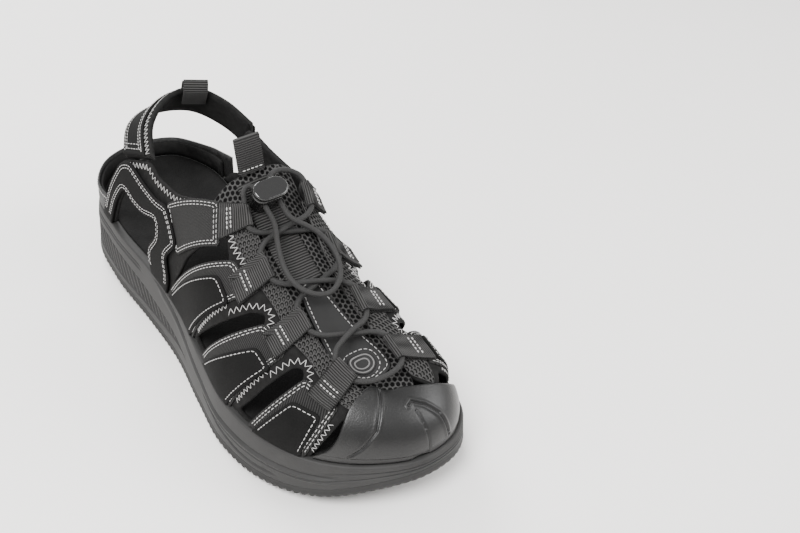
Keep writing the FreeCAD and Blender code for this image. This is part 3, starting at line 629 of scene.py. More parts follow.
# ------------------------------------------------------------------ meshes
def new_mesh(name, verts, faces, material, body="sandal", slot=None, uv=None, replaces=(),
             attribute=None):
    """A finished piece from points in millimetres."""
    mesh = bpy.data.meshes.new(name)
    mesh.from_pydata(world(verts).tolist(), [], faces)
    mesh.validate()
    mesh.update()
    mesh.shade_smooth()
    if uv is not None:
        layer = mesh.uv_layers.new(name="UVMap")
        index = np.zeros(len(mesh.loops), int)
        mesh.loops.foreach_get("vertex_index", index)
        layer.data.foreach_set("uv", np.asarray(uv, float)[index].ravel())
    # the depth attribute drives the painted shade in the mesh holes
    if attribute is not None:
        data = mesh.attributes.new("depth", "FLOAT", "POINT")
        data.data.foreach_set("value", np.asarray(attribute, float))
    mesh.materials.append(MATERIALS[material])
    obj = bpy.data.objects.new(name, mesh)
    bpy.context.scene.collection.objects.link(obj)
    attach(obj, body)
    if replaces:
        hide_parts(*replaces)
    return obj


def grid_faces(rows, cols, wrap_rows=False, wrap_cols=False, start=0, flip=False):
    faces = []
    for i in range(rows if wrap_rows else rows - 1):
        for k in range(cols if wrap_cols else cols - 1):
            i2, k2 = (i + 1) % rows, (k + 1) % cols
            face = [start + i * cols + k, start + i2 * cols + k, start + i2 * cols + k2,
                    start + i * cols + k2]
            faces.append(face[::-1] if flip else face)
    return faces


def tube_faces(rings, sides, start):
    """Faces of a tube whose rings of points follow each other from start."""
    faces = []
    for i in range(rings - 1):
        low, high = start + i * sides, start + (i + 1) * sides
        for k in range(sides):
            k2 = (k + 1) % sides
            faces.append([low + k, low + k2, high + k2, high + k])
    return faces


def area_of(q):
    return 0.5 * np.sum(q[:, 0] * np.roll(q[:, 1], -1) - np.roll(q[:, 0], -1) * q[:, 1])


def ring_on(field, q, step, closed=True):
    """A line in q, cut into equal steps on the surface."""
    dense = subdivide(q, closed)
    p, _ = field(dense)
    pts = np.vstack([p, p[:1]]) if closed else p
    qq = np.vstack([dense, dense[:1]]) if closed else dense
    d = along(pts)
    count = max(int(round(d[-1] / step)), 4)
    places = np.linspace(0, d[-1], count + 1)
    if closed:
        places = places[:-1]
    return at_lengths(qq, d, places)


def subdivide(q, closed, parts=8):
    q = np.asarray(q, float)
    ends = np.vstack([q[1:], q[:1]]) if closed else q[1:]
    starts = q if closed else q[:-1]
    t = np.arange(parts)[None, :, None] / parts
    out = (starts[:, None] * (1 - t) + ends[:, None] * t).reshape(-1, 2)
    return out if closed else np.vstack([out, q[-1:]])


def shifted(field, q, distance, hole=False, closed=True):
    """A line moved across the surface by a distance; a closed one shrinks, or grows as a hole."""
    eps = np.array([0.4, 0.004 if np.ptp(q[:, 1]) < 1.2 else 0.4])
    p, n = field(q)
    if closed:
        tangent = unit(np.roll(p, -1, 0) - np.roll(p, 1, 0))
    else:
        tangent = unit(np.gradient(p, axis=0))
    across = np.cross(n, tangent)
    j0 = (field(q + [eps[0], 0])[0] - field(q - [eps[0], 0])[0]) / (2 * eps[0])
    j1 = (field(q + [0, eps[1]])[0] - field(q - [0, eps[1]])[0]) / (2 * eps[1])
    a, b, c = (np.sum(x * y, 1) for x, y in ((j0, j0), (j0, j1), (j1, j1)))
    r0, r1 = np.sum(j0 * across, 1), np.sum(j1 * across, 1)
    det = np.maximum(a * c - b * b, 1e-6)
    move = np.column_stack([(c * r0 - b * r1) / det, (a * r1 - b * r0) / det])
    out = q + move * np.reshape(distance, (-1, 1))
    if closed:
        grew = abs(area_of(out)) > abs(area_of(q))
        if grew != hole:
            out = q - move * np.reshape(distance, (-1, 1))
    return out


def inside(points, ring):
    x, y = points[:, 0][:, None], points[:, 1][:, None]
    x1, y1 = ring[:, 0][None], ring[:, 1][None]
    x2, y2 = np.roll(ring[:, 0], -1)[None], np.roll(ring[:, 1], -1)[None]
    cross = ((y1 > y) != (y2 > y)) & (x < (x2 - x1) * (y - y1) / (y2 - y1 + 1e-12) + x1)
    return np.sum(cross, 1) % 2 == 1


BLOCK = 2000        # points worked on at a time

def distance_to(points, line):
    """Distance of each point from the nearest point of a line."""
    out = np.empty(len(points))
    for k in range(0, len(points), BLOCK):
        part = points[k:k + BLOCK]
        out[k:k + BLOCK] = np.linalg.norm(part[:, None] - line[None], axis=2).min(1)
    return out

def far_from(points, ring, least):
    return distance_to(points, ring) > least


def fill(rings, scale, step):
    """Triangles inside the first ring and outside the others; returns inner points too."""
    flat = [r * scale for r in rings]
    low, high = flat[0].min(0), flat[0].max(0)
    xs, ys = np.arange(low[0], high[0], step), np.arange(low[1], high[1], step * 0.87)
    gx, gy = np.meshgrid(xs, ys)
    gx = gx + (np.arange(len(ys)) % 2)[:, None] * step / 2
    grid = np.column_stack([gx.ravel(), gy.ravel()])
    grid = grid[inside(grid, flat[0])]
    for hole in flat[1:]:
        grid = grid[~inside(grid, hole)]
    for ring in flat:
        grid = grid[far_from(grid, ring, step * 0.55)]
    verts = np.vstack(flat + [grid])
    edges = []
    start = 0
    for ring in flat:
        n = len(ring)
        edges += [(start + k, start + (k + 1) % n) for k in range(n)]
        start += n
    out = delaunay_2d_cdt([Vector(p) for p in verts.tolist()], edges, [], 1, 1e-6)
    origin = np.array([o[0] if o else 0 for o in out[3]])
    faces = origin[np.array(out[2])]
    corners = verts[faces]
    middle = corners.mean(1)
    # a needle along a straight stretch of the outline isn't part of the sheet
    ab, ac = corners[:, 1] - corners[:, 0], corners[:, 2] - corners[:, 0]
    twice_area = np.abs(ab[:, 0] * ac[:, 1] - ab[:, 1] * ac[:, 0])
    longest = np.linalg.norm(corners - np.roll(corners, 1, 1), axis=2).max(1)
    keep = (twice_area > 0.02 * longest ** 2) | (longest < 2.5 * step)
    for k in range(0, len(faces), BLOCK):
        part = middle[k:k + BLOCK]
        keep[k:k + BLOCK] &= inside(part, flat[0])
        for hole in flat[1:]:
            keep[k:k + BLOCK] &= ~inside(part, hole)
    return faces[keep].tolist(), grid / scale


def panel(name, field, rings, depth, material, scale=(1.0, 90.0), step=2.2, ring_step=1.1,
          edge=0.45, relief=None, holes=None, **made):
    """A piece of sheet with rolled edges, cut to rings on a surface."""
    scale = np.array(scale)
    low, high = depth
    rings = [ring_on(field, r, ring_step) for r in rings]
    soft = [ring if not edge else shifted(field, ring, edge, hole=i > 0)
            for i, ring in enumerate(rings)]
    faces, grid = fill(soft, scale, step)
    counts = [len(r) for r in rings]
    total = sum(counts)
    verts, uvs, out_faces = [], [], []

    def put(q, out):
        p, n = field(q)
        verts.append(p + n * np.reshape(out, (-1, 1)))
        uvs.append(q * scale)
    top_q = np.vstack(soft + [grid])
    lift = np.full(len(top_q), high)
    if relief is not None:
        lift = lift + relief(top_q)
    put(top_q, lift)
    base = len(top_q)
    put(np.vstack(rings + [grid]), low)
    edge_q = np.vstack([r + (s - r) * 0.29 for r, s in zip(rings, soft)])
    ring_q = np.vstack(rings)
    put(edge_q, high - edge * 0.29)
    put(ring_q, high - edge)
    mid, side = 2 * base, 2 * base + total
    p, n = field(top_q[faces[0]])
    flip = np.dot(np.cross(p[1] - p[0], p[2] - p[0]), n[0]) < 0
    for f in faces:
        top = f[::-1] if flip else f
        out_faces.append(top)
        out_faces.append([base + k for k in top[::-1]])
    start = 0
    for index, n_ring in enumerate(counts):
        forward = (area_of(rings[index] * scale) > 0) != flip
        if index > 0:
            forward = not forward
        for k in range(n_ring):
            a, b = start + k, start + (k + 1) % n_ring
            for lower, upper in ((mid, 0), (side, mid), (base, side)):
                face = [lower + a, lower + b, upper + b, upper + a]
                out_faces.append(face if forward else face[::-1])
        start += n_ring
    verts = np.vstack(verts)
    # how deep each hole is, kept as the mesh's depth attribute for the painted shade in the holes
    if holes is not None:
        made["attribute"] = np.zeros(len(verts))
        made["attribute"][:base] = holes(top_q)
    return new_mesh(name, verts, out_faces, material, uv=np.vstack(uvs), **made)


def rounded(corners, share=0.38, sharp=(0, -1), parts=6):
    """Corners turned into short curves; those that stand on the sole stay sharp."""
    pts = np.array(corners, float)
    n = len(pts)
    out = []
    for i in range(n):
        if i in sharp or i - n in sharp:
            out.append(pts[i])
            continue
        a, b, c = pts[i - 1], pts[i], pts[(i + 1) % n]
        run = share * min(np.linalg.norm(a - b), np.linalg.norm(c - b))
        p = b + (a - b) / np.linalg.norm(a - b) * run
        r = b + (c - b) / np.linalg.norm(c - b) * run
        for t in np.linspace(0, 1, parts):
            out.append(p * (1 - t) ** 2 + 2 * b * t * (1 - t) + r * t * t)
    return np.array(out)


def soft_ring(corners, share=0.3, scale=(1.0, 90.0), **how):
    """The same for corners given as (station, v)."""
    scale = np.array(scale)
    return rounded(np.array(corners, float) * scale, share, **how) / scale


# ------------------------------------------------------------------ stitching
THREAD = {"sandal": []}


def lay_stitches(starts, ends, normals, body="sandal", thick=0.26, bulge=0.25):
    THREAD.setdefault(body, []).append((np.asarray(starts), np.asarray(ends),
                                        np.asarray(normals), thick, bulge))


def stitch_line(field, q, out, pitch=2.7, length=1.95, closed=False, body="sandal", thick=0.26):
    """A row of lockstitches along a line on a surface."""
    q = ring_on(field, q, pitch / 6, closed)
    if closed:
        q = np.vstack([q, q[:1]])
    p, n = field(q)
    p = p + n * out
    d = along(p)
    count = int(d[-1] / pitch)
    if count < 1:
        return
    first = (np.arange(count) + 0.5) * d[-1] / count - length / 2
    lay_stitches(at_lengths(p, d, first), at_lengths(p, d, first + length),
                 unit(at_lengths(n, d, first + length / 2)), body, thick)


def stitched_edge(field, ring, inset, out, hole=False, keep=None, **how):
    """A row at a distance inside an edge, with the parts that keep() refuses left out."""
    ring = ring_on(field, ring, 0.9)
    moved = shifted(field, ring, inset, hole=hole)
    edge, _ = field(ring)
    here, _ = field(moved)
    good = far_from(here, edge, inset * 0.9)
    if keep is not None:
        good &= keep(moved)
    if good.all():
        stitch_line(field, moved, out, closed=True, **how)
        return
    start = int(np.argmin(good))
    order = np.roll(np.arange(len(good)), -start)
    run = []
    for k in list(order) + [start]:
        if good[k]:
            run.append(moved[k])
        else:
            if len(run) > 4:
                stitch_line(field, np.array(run), out, **how)
            run = []


def zigzag(field, q, out, width=3.2, pitch=1.7, body="sandal", thick=0.22):
    q = ring_on(field, q, pitch, False)
    half = np.where(np.arange(len(q)) % 2, 0.5, -0.5) * width
    q = shifted(field, q, half, closed=False)
    p, n = field(q)
    p = p + n * out
    lay_stitches(p[:-1], p[1:], unit(n[:-1] + n[1:]), body, thick, 0.15)


def build_thread():
    sides, rings = 6, 5
    phase = np.arange(sides) * 2 * math.pi / sides
    ts = np.array([0.0, 0.12, 0.5, 0.88, 1.0])
    radii = np.array([0.35, 0.85, 1.0, 0.85, 0.35])
    for body, groups in THREAD.items():
        verts, faces = [], []
        start = 0
        for a, b, n, thick, bulge in groups:
            count = len(a)
            run = b - a
            side = unit(np.cross(n, run))
            lift = np.sin(ts * math.pi) * bulge
            centre = a[:, None] + run[:, None] * ts[None, :, None] + n[:, None] * lift[None, :, None]
            ring = (side[:, None] * np.cos(phase)[None, :, None]
                    + n[:, None] * np.sin(phase)[None, :, None] * 0.8)
            pts = centre[:, :, None] + ring[:, None] * (radii * thick)[None, :, None, None]
            verts.append(pts.reshape(-1, 3))
            for s in range(count):
                base = start + s * rings * sides
                faces += tube_faces(rings, sides, base)
                faces.append([base + k for k in range(sides)][::-1])
                faces.append([base + (rings - 1) * sides + k for k in range(sides)])
            start += count * rings * sides
        if verts:
            new_mesh("stitching_" + body, np.vstack(verts), faces, "thread", body)


# ------------------------------------------------------------------ cords first
LACE_ROUTE = [(-6.4, 167, 115.1), (-6.4, 161.1, 118.4), (-9.7, 159.2, 119.2),
              (-13.0, 161.2, 117.5), (-13.6, 163.5, 114), (-21.2, 176.8, 104.4),
              (1.4, 181.2, 99.3), (24.4, 184.2, 93.9),
              (19.9, 203.9, 86.8), (0.1, 209.6, 85.4), (-19.7, 215.4, 84.5),
              (-19.4, 232.6, 76.3), (-1.0, 238.4, 73.0), (17.3, 244.6, 71.3),
              (18.1, 265.4, 63.5), (-12.7, 264.8, 63.5),
              (-17.5, 245.7, 71.1), (-1.2, 240.5, 77.0), (15.0, 235.7, 75.0),
              (18.5, 215.7, 82.5), (-2.3, 210.2, 88.8), (-23.1, 204.2, 89.8),
              (-21.3, 184.7, 100.1), (0.2, 180.6, 102.9), (21.2, 176.3, 101.3),
              (25.4, 158.8, 110.8), (20.0, 154.5, 115.0), (12.0, 154.5, 118.5),
              (5.5, 157.5, 119.5), (2.0, 161.1, 118.4), (2.0, 167, 115.1)]
LOOP_ROUTE = [(-6.4, 167, 115.1), (-6.4, 174, 111.2), (-6.4, 180.9, 107.3),
              (-11.5, 191, 101.6), (-14.5, 201, 96),
              (-14.5, 211, 91.5), (-8, 218.5, 87.5), (1, 220.5, 85.5), (9.5, 216.5, 88),
              (14.5, 208.5, 92), (15.5, 198, 96.5), (11.5, 188.5, 102), (2.0, 180.9, 107.3),
              (2.0, 174, 111.2), (2.0, 167, 115.1)]


def spline_points(name, route):
    """Points of the smooth line that a route controls, read from its NURBS curve."""
    curve = bpy.data.curves.new(name + "_line", "CURVE")
    curve.dimensions = "3D"
    curve.resolution_u = 14
    line = curve.splines.new("NURBS")
    pts = world([(x, HALF - l, z) for x, l, z in route])
    line.points.add(len(pts) - 1)
    for point, co in zip(line.points, pts):
        point.co = (*co, 1)
    line.order_u = 3
    line.use_endpoint_u = True
    obj = bpy.data.objects.new(name + "_line", curve)
    bpy.context.scene.collection.objects.link(obj)
    bpy.context.view_layer.update()
    mesh = bpy.data.meshes.new_from_object(obj.evaluated_get(
        bpy.context.evaluated_depsgraph_get()))
    out = np.array([v.co for v in mesh.vertices]) * 1000 - SHIFT
    bpy.data.objects.remove(obj)
    return out


def cord_tube(name, points, radius, body, slot, replaces, step=0.55, around=16):
    """A round cord with a braid in its surface."""
    p = resample(points, step)
    t = unit(np.gradient(p, axis=0))
    n = np.zeros_like(t)
    seed = np.cross(t[0], [0.3, 0.2, 1])
    n[0] = seed / np.linalg.norm(seed)
    for i in range(1, len(t)):
        step_n = n[i - 1] - t[i] * np.dot(n[i - 1], t[i])
        n[i] = step_n / np.linalg.norm(step_n)
    b = np.cross(t, n)
    phase = np.arange(around) * 2 * math.pi / around
    d = along(p)
    braid = 0.09 * np.sin(4 * phase[None] + d[:, None] * 2.4) * np.sin(4 * phase[None]
                                                                      - d[:, None] * 2.4)
    r = (radius + braid)[:, :, None]
    verts = p[:, None] + r * (n[:, None] * np.cos(phase)[None, :, None]
                              + b[:, None] * np.sin(phase)[None, :, None])
    faces = grid_faces(len(p), around, wrap_cols=True)
    count = len(p) * around
    faces += [list(range(around))[::-1], list(range(count - around, count))]
    uv = np.stack(np.broadcast_arrays(d[:, None], phase[None] * radius), 2).reshape(-1, 2)
    return new_mesh(name, verts.reshape(-1, 3), faces, "cord", body, slot, uv, replaces), p


lace_line = spline_points("lace", LACE_ROUTE)
cord_tube("lace", lace_line, 1.4, "sandal", "bungee_cord", ("lace_cord",))
loop_line = spline_points("loop", LOOP_ROUTE)
end_loop, loop_path = cord_tube("lace_end", loop_line, 1.4, "sandal", "bungee_cord",
                                ("lace_end_loop",))

# ------------------------------------------------------------------ upper, side by side
# the two faces of each layer, as distances from the last
LINING, TEXTILE, OVERLAY = (0.0, 1.8), (1.95, 3.0), (3.15, 4.4)
STRAP_NUBUCK, THROAT_MESH, COUNTER = (2.9, 4.2), (1.85, 2.7), (1.95, 3.2)
TONGUE_MESH, TONGUE_LEATHER, BADGE_LEATHER = (-4.6, -1.3), (-1.2, 0.3), (0.35, 1.0)
BADGE_PRINT, TOE_RUBBER = (0.9, 1.35), (0.0, 2.7)
THREAD_LIFT, ZIGZAG_LIFT = 0.05, 0.1        # how far stitches stand above the piece they hold
QUARTER = {-1: [(41, 39), (54, 68), (62, 82), (68, 91.5), (77, 96), (93, 91.4), (109, 90),
                (120, 92), (128, 85), (136, 77), (124, 63), (128, 51), (124, 36)],
           1: [(50, 39), (60, 52), (72, 58), (77.5, 76), (82.5, 95), (100, 93), (118, 91),
               (135, 90), (146, 95), (154, 101), (162, 96.5), (156, 84), (146, 72), (134, 58),
               (128, 50), (125, 36)]}
QUARTER_LINING = {-1: [(40, 39), (52, 69), (60, 83), (67, 92), (92.5, 103), (102, 99),
                       (123, 99.6), (135, 104), (151, 109), (160, 103), (166, 96.5), (157, 90),
                       (146, 77), (138, 60.6), (131, 50), (128, 36)],
                  1: [(49, 39), (60, 53), (71, 58.5), (76.5, 76), (81.5, 97), (101, 97),
                      (118, 95), (136, 96), (150, 104), (160, 106), (170, 97.5), (160, 87),
                      (148, 74), (138, 60), (131, 50), (128, 36)]}
STAR = {-1: [(53, 38), (62.4, 62), (73, 78), (85, 73.6), (95.5, 73.3), (111.4, 78.5),
             (112, 69), (101, 55), (105, 36)],
        1: [(67, 38), (75, 52), (88, 72), (95, 69), (104, 69), (117, 74), (118, 66),
            (108, 54), (111, 36)]}
VAMP = {-1: [(263, 0.006), (274, 0.47), (284, 0.5), (284, 0.74), (264, 0.8), (243, 0.83),
             (195, 0.82), (167, 0.84), (166, 0.7), (184, 0.6), (150, 0.26), (121, 0.006)],
        1: [(263, 0.006), (274, 0.47), (284, 0.5), (284, 0.74), (264, 0.79), (246, 0.81),
            (208, 0.72), (192, 0.7), (171, 0.74), (171, 0.6), (185, 0.46), (157, 0.2),
            (130, 0.006)]}
SLOTS = {-1: [[(165, 0.03), (184, 0.24), (201, 0.46), (212, 0.61), (219, 0.665), (221, 0.6),
               (214, 0.47), (204, 0.35), (191, 0.19), (181, 0.07), (175, 0.03)],
              [(220, 0.03), (229, 0.2), (238, 0.42), (246, 0.6), (251, 0.645), (253, 0.58),
               (249, 0.44), (243, 0.27), (236, 0.12), (231, 0.03)]],
         1: [[(166, 0.03), (184, 0.2), (200, 0.38), (211, 0.51), (218, 0.555), (221, 0.5),
              (214, 0.4), (203, 0.28), (190, 0.15), (180, 0.06), (175, 0.03)],
             [(220, 0.03), (229, 0.19), (238, 0.4), (246, 0.55), (251, 0.59), (253, 0.53),
              (249, 0.4), (243, 0.26), (236, 0.11), (231, 0.03)]]}
MESH_LOW = {-1: [(168, 0.715), (180, 0.68), (190, 0.695), (205, 0.72), (222, 0.735), (236, 0.7),
                 (251, 0.715), (262, 0.66), (272, 0.58), (283, 0.54)],
            1: [(172, 0.63), (184, 0.53), (200, 0.56), (218, 0.62), (232, 0.59), (250, 0.655),
                (262, 0.62), (272, 0.57), (283, 0.54)]}
MESH_HIGH = {-1: [(283, 0.76), (264, 0.83), (243, 0.86), (195, 0.85), (168, 0.87)],
             1: [(283, 0.76), (264, 0.82), (246, 0.84), (208, 0.755), (192, 0.735), (172, 0.77)]}
STRAP_BASE = {-1: [[(124, 0), (162, 0), (206, 0.66), (186, 0.66)],
                   [(176, 0), (214, 0), (240, 0.62), (222, 0.64)],
                   [(229, 0), (261, 0), (272, 0.56), (254, 0.61)]],
              1: [[(132, 0), (163, 0), (207, 0.54), (188, 0.5)],
                  [(177, 0), (214, 0), (242, 0.6), (224, 0.58)],
                  [(229, 0), (261, 0), (272, 0.55), (255, 0.6)]]}
STRAP_OVERLAY = {-1: [[(127, 0), (160, 0), (197, 0.51), (181, 0.52)],
                      [(181, 0), (212, 0), (236, 0.49), (224, 0.51)],
                      [(233, 0), (259, 0), (266, 0.44), (252, 0.43)]],
                 1: [[(134, 0), (160, 0), (195, 0.4), (180, 0.38)],
                     [(181, 0), (212, 0), (235, 0.46), (221, 0.45)],
                     [(233, 0), (259, 0), (266, 0.43), (252, 0.44)]]}
LACE_LOOP = {-1: [[(157, 0.72), (170, 0.61), (182, 0.83), (171, 0.88)],
                  [(188, 0.57), (203, 0.55), (211, 0.81), (196, 0.82)],
                  [(223, 0.57), (236, 0.54), (244, 0.83), (231, 0.84)],
                  [(257, 0.52), (269, 0.48), (277, 0.77), (264, 0.81)]],
             1: [[(158, 0.62), (173, 0.56), (177, 0.75), (161, 0.78)],
                 [(190, 0.44), (206, 0.46), (210, 0.73), (191, 0.69)],
                 [(226, 0.53), (240, 0.54), (248, 0.82), (229, 0.78)],
                 [(256, 0.53), (269, 0.48), (277, 0.77), (261, 0.8)]]}
GORE = [(136, 0.26), (172, 0.6), (157, 0.73), (117, 0.4)]
NAMES = {-1: "lateral", 1: "medial"}
FOOT = 0.006


def above_sole(least):
    return lambda q: q[:, 1] > least


def hex_relief(depth, pitch, scale):
    """Round holes in a staggered pattern, as a height over q, and how deep it is there, which also
    sets the painted shade in the holes.
    """
    def value(q):
        p = q * scale / pitch
        row = np.round(p[:, 1] / 0.866)
        best = np.full(len(p), 9.0)
        for dr in (-1, 0, 1):
            r = row + dr
            s = np.mod(r, 2) * 0.5
            c = np.round(p[:, 0] - s) + s
            best = np.minimum(best, np.hypot(p[:, 0] - c, p[:, 1] - r * 0.866))
        hole = np.clip((0.4 - best) / 0.12, 0, 1)
        return -depth * hole, hole
    return value


def mesh_sheet(name, field, rings, depth, scale, pitch=2.9, deep=0.9, **made):
    """A panel of open mesh with its holes in the geometry and painted shade in them."""
    value = hex_relief(deep, pitch, np.array(scale))
    panel(name, field, rings, depth, "mesh", scale, step=0.5, ring_step=1.0, edge=0.3,
          relief=lambda q: value(q)[0], holes=lambda q: value(q)[1], **made)


LOOP_RADIUS = 1.95      # of the fold round the cord
LOOP_HALF_GAP = 0.62    # half the distance between the two layers where they are sewn down
LOOP_START = 4.6        # distance of the sewn end from the last

def webbing_loop(name, side, corners, cord_a, cord_b, **made):
    """A strip of webbing folded round the cord, with its ribs along the fold."""
    corners = np.array(corners)
    field = side_field(side)
    us = np.array([0.0, 0.04, 0.25, 0.5, 0.75, 0.96, 1.0])
    base_q = corners[0] + (corners[1] - corners[0]) * us[:, None]
    mid_q = base_q * 0.4 + (corners[3] + (corners[2] - corners[3]) * us[:, None]) * 0.6
    b0, n0 = field(base_q)
    _, n1 = field(mid_q)
    n = unit(n0 + n1)
    centre = np.array(cord_a) + (np.array(cord_b) - cord_a) * us[:, None]
    rows = []
    for u, base, normal, c in zip(us, b0, n, centre):
        start = base + normal * LOOP_START
        run = c - start
        run_len = np.linalg.norm(run)
        ahead = run / run_len
        upward = normal - ahead * np.dot(normal, ahead)
        upward /= np.linalg.norm(upward)
        s = np.linspace(0, 1, 40)
        gaps = LOOP_HALF_GAP + (LOOP_RADIUS - LOOP_HALF_GAP) * s ** 3
        low = [(t * run_len, -gap) for t, gap in zip(s, gaps)]
        arc = [(run_len + LOOP_RADIUS * math.sin(a), -LOOP_RADIUS * math.cos(a))
               for a in np.linspace(0, math.pi, 26)[1:-1]]
        high = [(t * run_len, gap) for t, gap in zip(s, gaps)][::-1]
        path = resample(np.array(low + arc + high), 0.24)
        tangent = unit(np.gradient(path, axis=0))
        out2 = np.column_stack([tangent[:, 1], -tangent[:, 0]])
        d = along(path)
        thick = 0.5 + 0.2 * np.sin(d * 2 * math.pi / 1.25)
        if u in (0.0, 1.0):
            thick = thick * 0.55
        ring = np.vstack([path + out2 * thick[:, None], (path - out2 * 0.42)[::-1]])
        rows.append(start + ahead * ring[:, :1] + upward * ring[:, 1:])
    count = min(len(x) for x in rows)
    rows = [resample(np.vstack([x, x[:1]]), along(np.vstack([x, x[:1]]))[-1] / count)[:count]
            if len(x) != count else x for x in rows]
    verts = np.array(rows)
    faces = grid_faces(len(us), count, wrap_cols=True)
    half = count // 2
    for row, flip in ((0, False), (len(us) - 1, True)):
        for k in range(half - 1):
            a = row * count
            f = [a + k, a + k + 1, a + count - 2 - k, a + count - 1 - k]
            faces.append(f if flip else f[::-1])
    width = np.linalg.norm(verts[0, 0] - verts[-1, 0])
    uv = np.stack(np.broadcast_arrays(np.arange(count)[None] * 0.24, us[:, None] * width), 2)
    new_mesh(name, verts.reshape(-1, 3), faces, "webbing", uv=uv.reshape(-1, 2), slot="webbing",
             **made)
    # two columns of heavy bar-tack stitches across the strip
    for share in (0.34, 0.47):
        foot = b0 + n * LOOP_START
        pts = foot + (centre - foot) * share + n * (1.25 + 1.35 * share ** 3)
        line = resample(pts, 0.2)
        d = along(line)
        number = 5
        first = d[-1] * (0.16 + 0.7 * np.arange(number) / number)
        size = d[-1] * 0.7 / number * 0.72
        lay_stitches(at_lengths(line, d, first), at_lengths(line, d, first + size),
                     np.repeat(n[3:4], number, 0), thick=0.42, bulge=0.2)


CORD_AT = {-1: [((-13.6, 163.5, 114), (-21.2, 176.8, 104.4)),
                ((-21.3, 184.7, 100.1), (-23.1, 204.2, 89.8)),
                ((-19.7, 215.4, 84.5), (-19.4, 232.6, 76.3)),
                ((-17.5, 245.7, 71.1), (-12.7, 264.8, 63.5))],
           1: [((25.4, 158.8, 110.8), (21.2, 176.3, 101.3)),
               ((24.4, 184.2, 93.9), (19.9, 203.9, 86.8)),
               ((18.5, 215.7, 82.5), (15.0, 235.7, 75.0)),
               ((17.3, 244.6, 71.3), (18.1, 265.4, 63.5))]}


def nearest_on_lace(side, i, share):
    a, b = (np.array((x, HALF - l, z)) for x, l, z in CORD_AT[side][i])
    want = a + (b - a) * share
    return lace_line[np.argmin(np.linalg.norm(lace_line - want, axis=1))]


def strap_outline(corners, share):
    """The ring of a strap from its four corners, its foot just above the sole's top edge."""
    ring = np.array([corners[k] for k in (1, 2, 3, 0)], float)
    ring[:, 1] = np.maximum(ring[:, 1], FOOT)
    return soft_ring(ring, share)

for side, name in NAMES.items():
    field = side_field(side)
    # quarter: lining, then nubuck, both open at the star
    for label, corners, depth, material, slot in (
            ("quarter_lining", QUARTER_LINING[side], LINING, "neoprene", "neoprene"),
            ("quarter", QUARTER[side], OVERLAY, "nubuck", "nubuck")):
        star = STAR[side][::-1]
        n_out = len(corners)
        shape = rounded(list(corners) + list(star), sharp=(0, n_out - 1, n_out, -1))
        ring = to_last(side, shape)
        panel(f"{name}_{label}_soft", field, [ring], depth, material, edge=0.5, slot=slot,
              replaces=(f"{name}_{label}",))
        if label == "quarter":
            for inset in (1.7, 3.3):
                stitched_edge(field, ring, inset, OVERLAY[1] + THREAD_LIFT, keep=above_sole(0.05))
        else:
            upper = to_last(side, rounded(corners, sharp=(0, -1)))
            p, _ = field(upper)
            station = HALF - p[:, 1]
            collar = upper[(p[:, 2] > 88) & (station > (69 if side < 0 else 84))
                           & (station < 150)]
            one, other = (shifted(field, collar, gap, closed=False) for gap in (2.6, -2.6))
            lower = one if one[:, 1].mean() < collar[:, 1].mean() else other
            zigzag(field, lower, LINING[1] + ZIGZAG_LIFT)
    # vamp lining with its slots
    vamp = soft_ring(VAMP[side], 0.25, sharp=(0, -1))
    slots = [soft_ring(s, 0.45, sharp=()) for s in SLOTS[side]]
    panel(f"{name}_vamp_lining", field, [vamp] + slots, LINING, "neoprene", edge=0.8,
          slot="neoprene", replaces=[f"{name}_strap_lining_{i}" for i in (1, 2, 3)])
    # open mesh at the throat
    mesh_ring = soft_ring(MESH_LOW[side] + MESH_HIGH[side], 0.3, sharp=())
    mesh_sheet(f"{name}_throat_mesh", field, [mesh_ring], THROAT_MESH, (1.0, 90.0),
               slot="mesh", replaces=(f"{name}_eyestay",))
    zigzag(field, soft_ring(MESH_LOW[side][:4], 0.3), 2.75)
    for slot in slots:
        around_slot = shifted(field, ring_on(field, slot, 1.2), 3.4, hole=True)
        high = around_slot[:, 1] > slot[:, 1].max() * 0.7
        start = int(np.argmin(high))
        around_slot, high = np.roll(around_slot, -start, 0), np.roll(high, -start)
        zigzag(field, around_slot[high], 2.05)
    for i in range(3):
        base = STRAP_BASE[side][i]
        ring = strap_outline(base, 0.22)
        panel(f"{name}_strap_base_{i + 1}_soft", field, [ring], TEXTILE, "textile", edge=0.4,
              slot="ribbed_textile", replaces=(f"{name}_strap_base_{i + 1}",))
        for inset in (1.3, 2.7):
            stitched_edge(field, ring, inset, TEXTILE[1] + THREAD_LIFT, keep=above_sole(0.05))
        share = np.linspace(0.16, 0.72, 20)[:, None]
        front = np.array(base[1]) * (1 - share) + np.array(base[2]) * share
        zigzag(field, front + [1.0, 0], LINING[1] + ZIGZAG_LIFT, width=2.4, pitch=1.5)
        ring = strap_outline(STRAP_OVERLAY[side][i], 0.28)
        panel(f"{name}_strap_overlay_{i + 1}_soft", field, [ring], STRAP_NUBUCK, "nubuck",
              edge=0.5, slot="nubuck", replaces=(f"{name}_strap_overlay_{i + 1}",))
        stitched_edge(field, ring, 1.7, STRAP_NUBUCK[1] + THREAD_LIFT, keep=above_sole(0.05))
    for i, corners in enumerate(LACE_LOOP[side]):
        webbing_loop(f"{name}_lace_loop_{i + 1}_soft", side, corners,
                     nearest_on_lace(side, i, 0.12), nearest_on_lace(side, i, 0.88),
                     replaces=(f"{name}_lace_loop_{i + 1}",))

gore_field = side_field(-1)
gore_ring = soft_ring(GORE, 0.12, sharp=())
panel("lateral_gore_soft", gore_field, [gore_ring], TEXTILE, "elastic", edge=0.35, slot="elastic",
      replaces=("lateral_gore",))
for inset in (1.4, 2.9):
    stitched_edge(gore_field, gore_ring, inset, TEXTILE[1] + THREAD_LIFT)


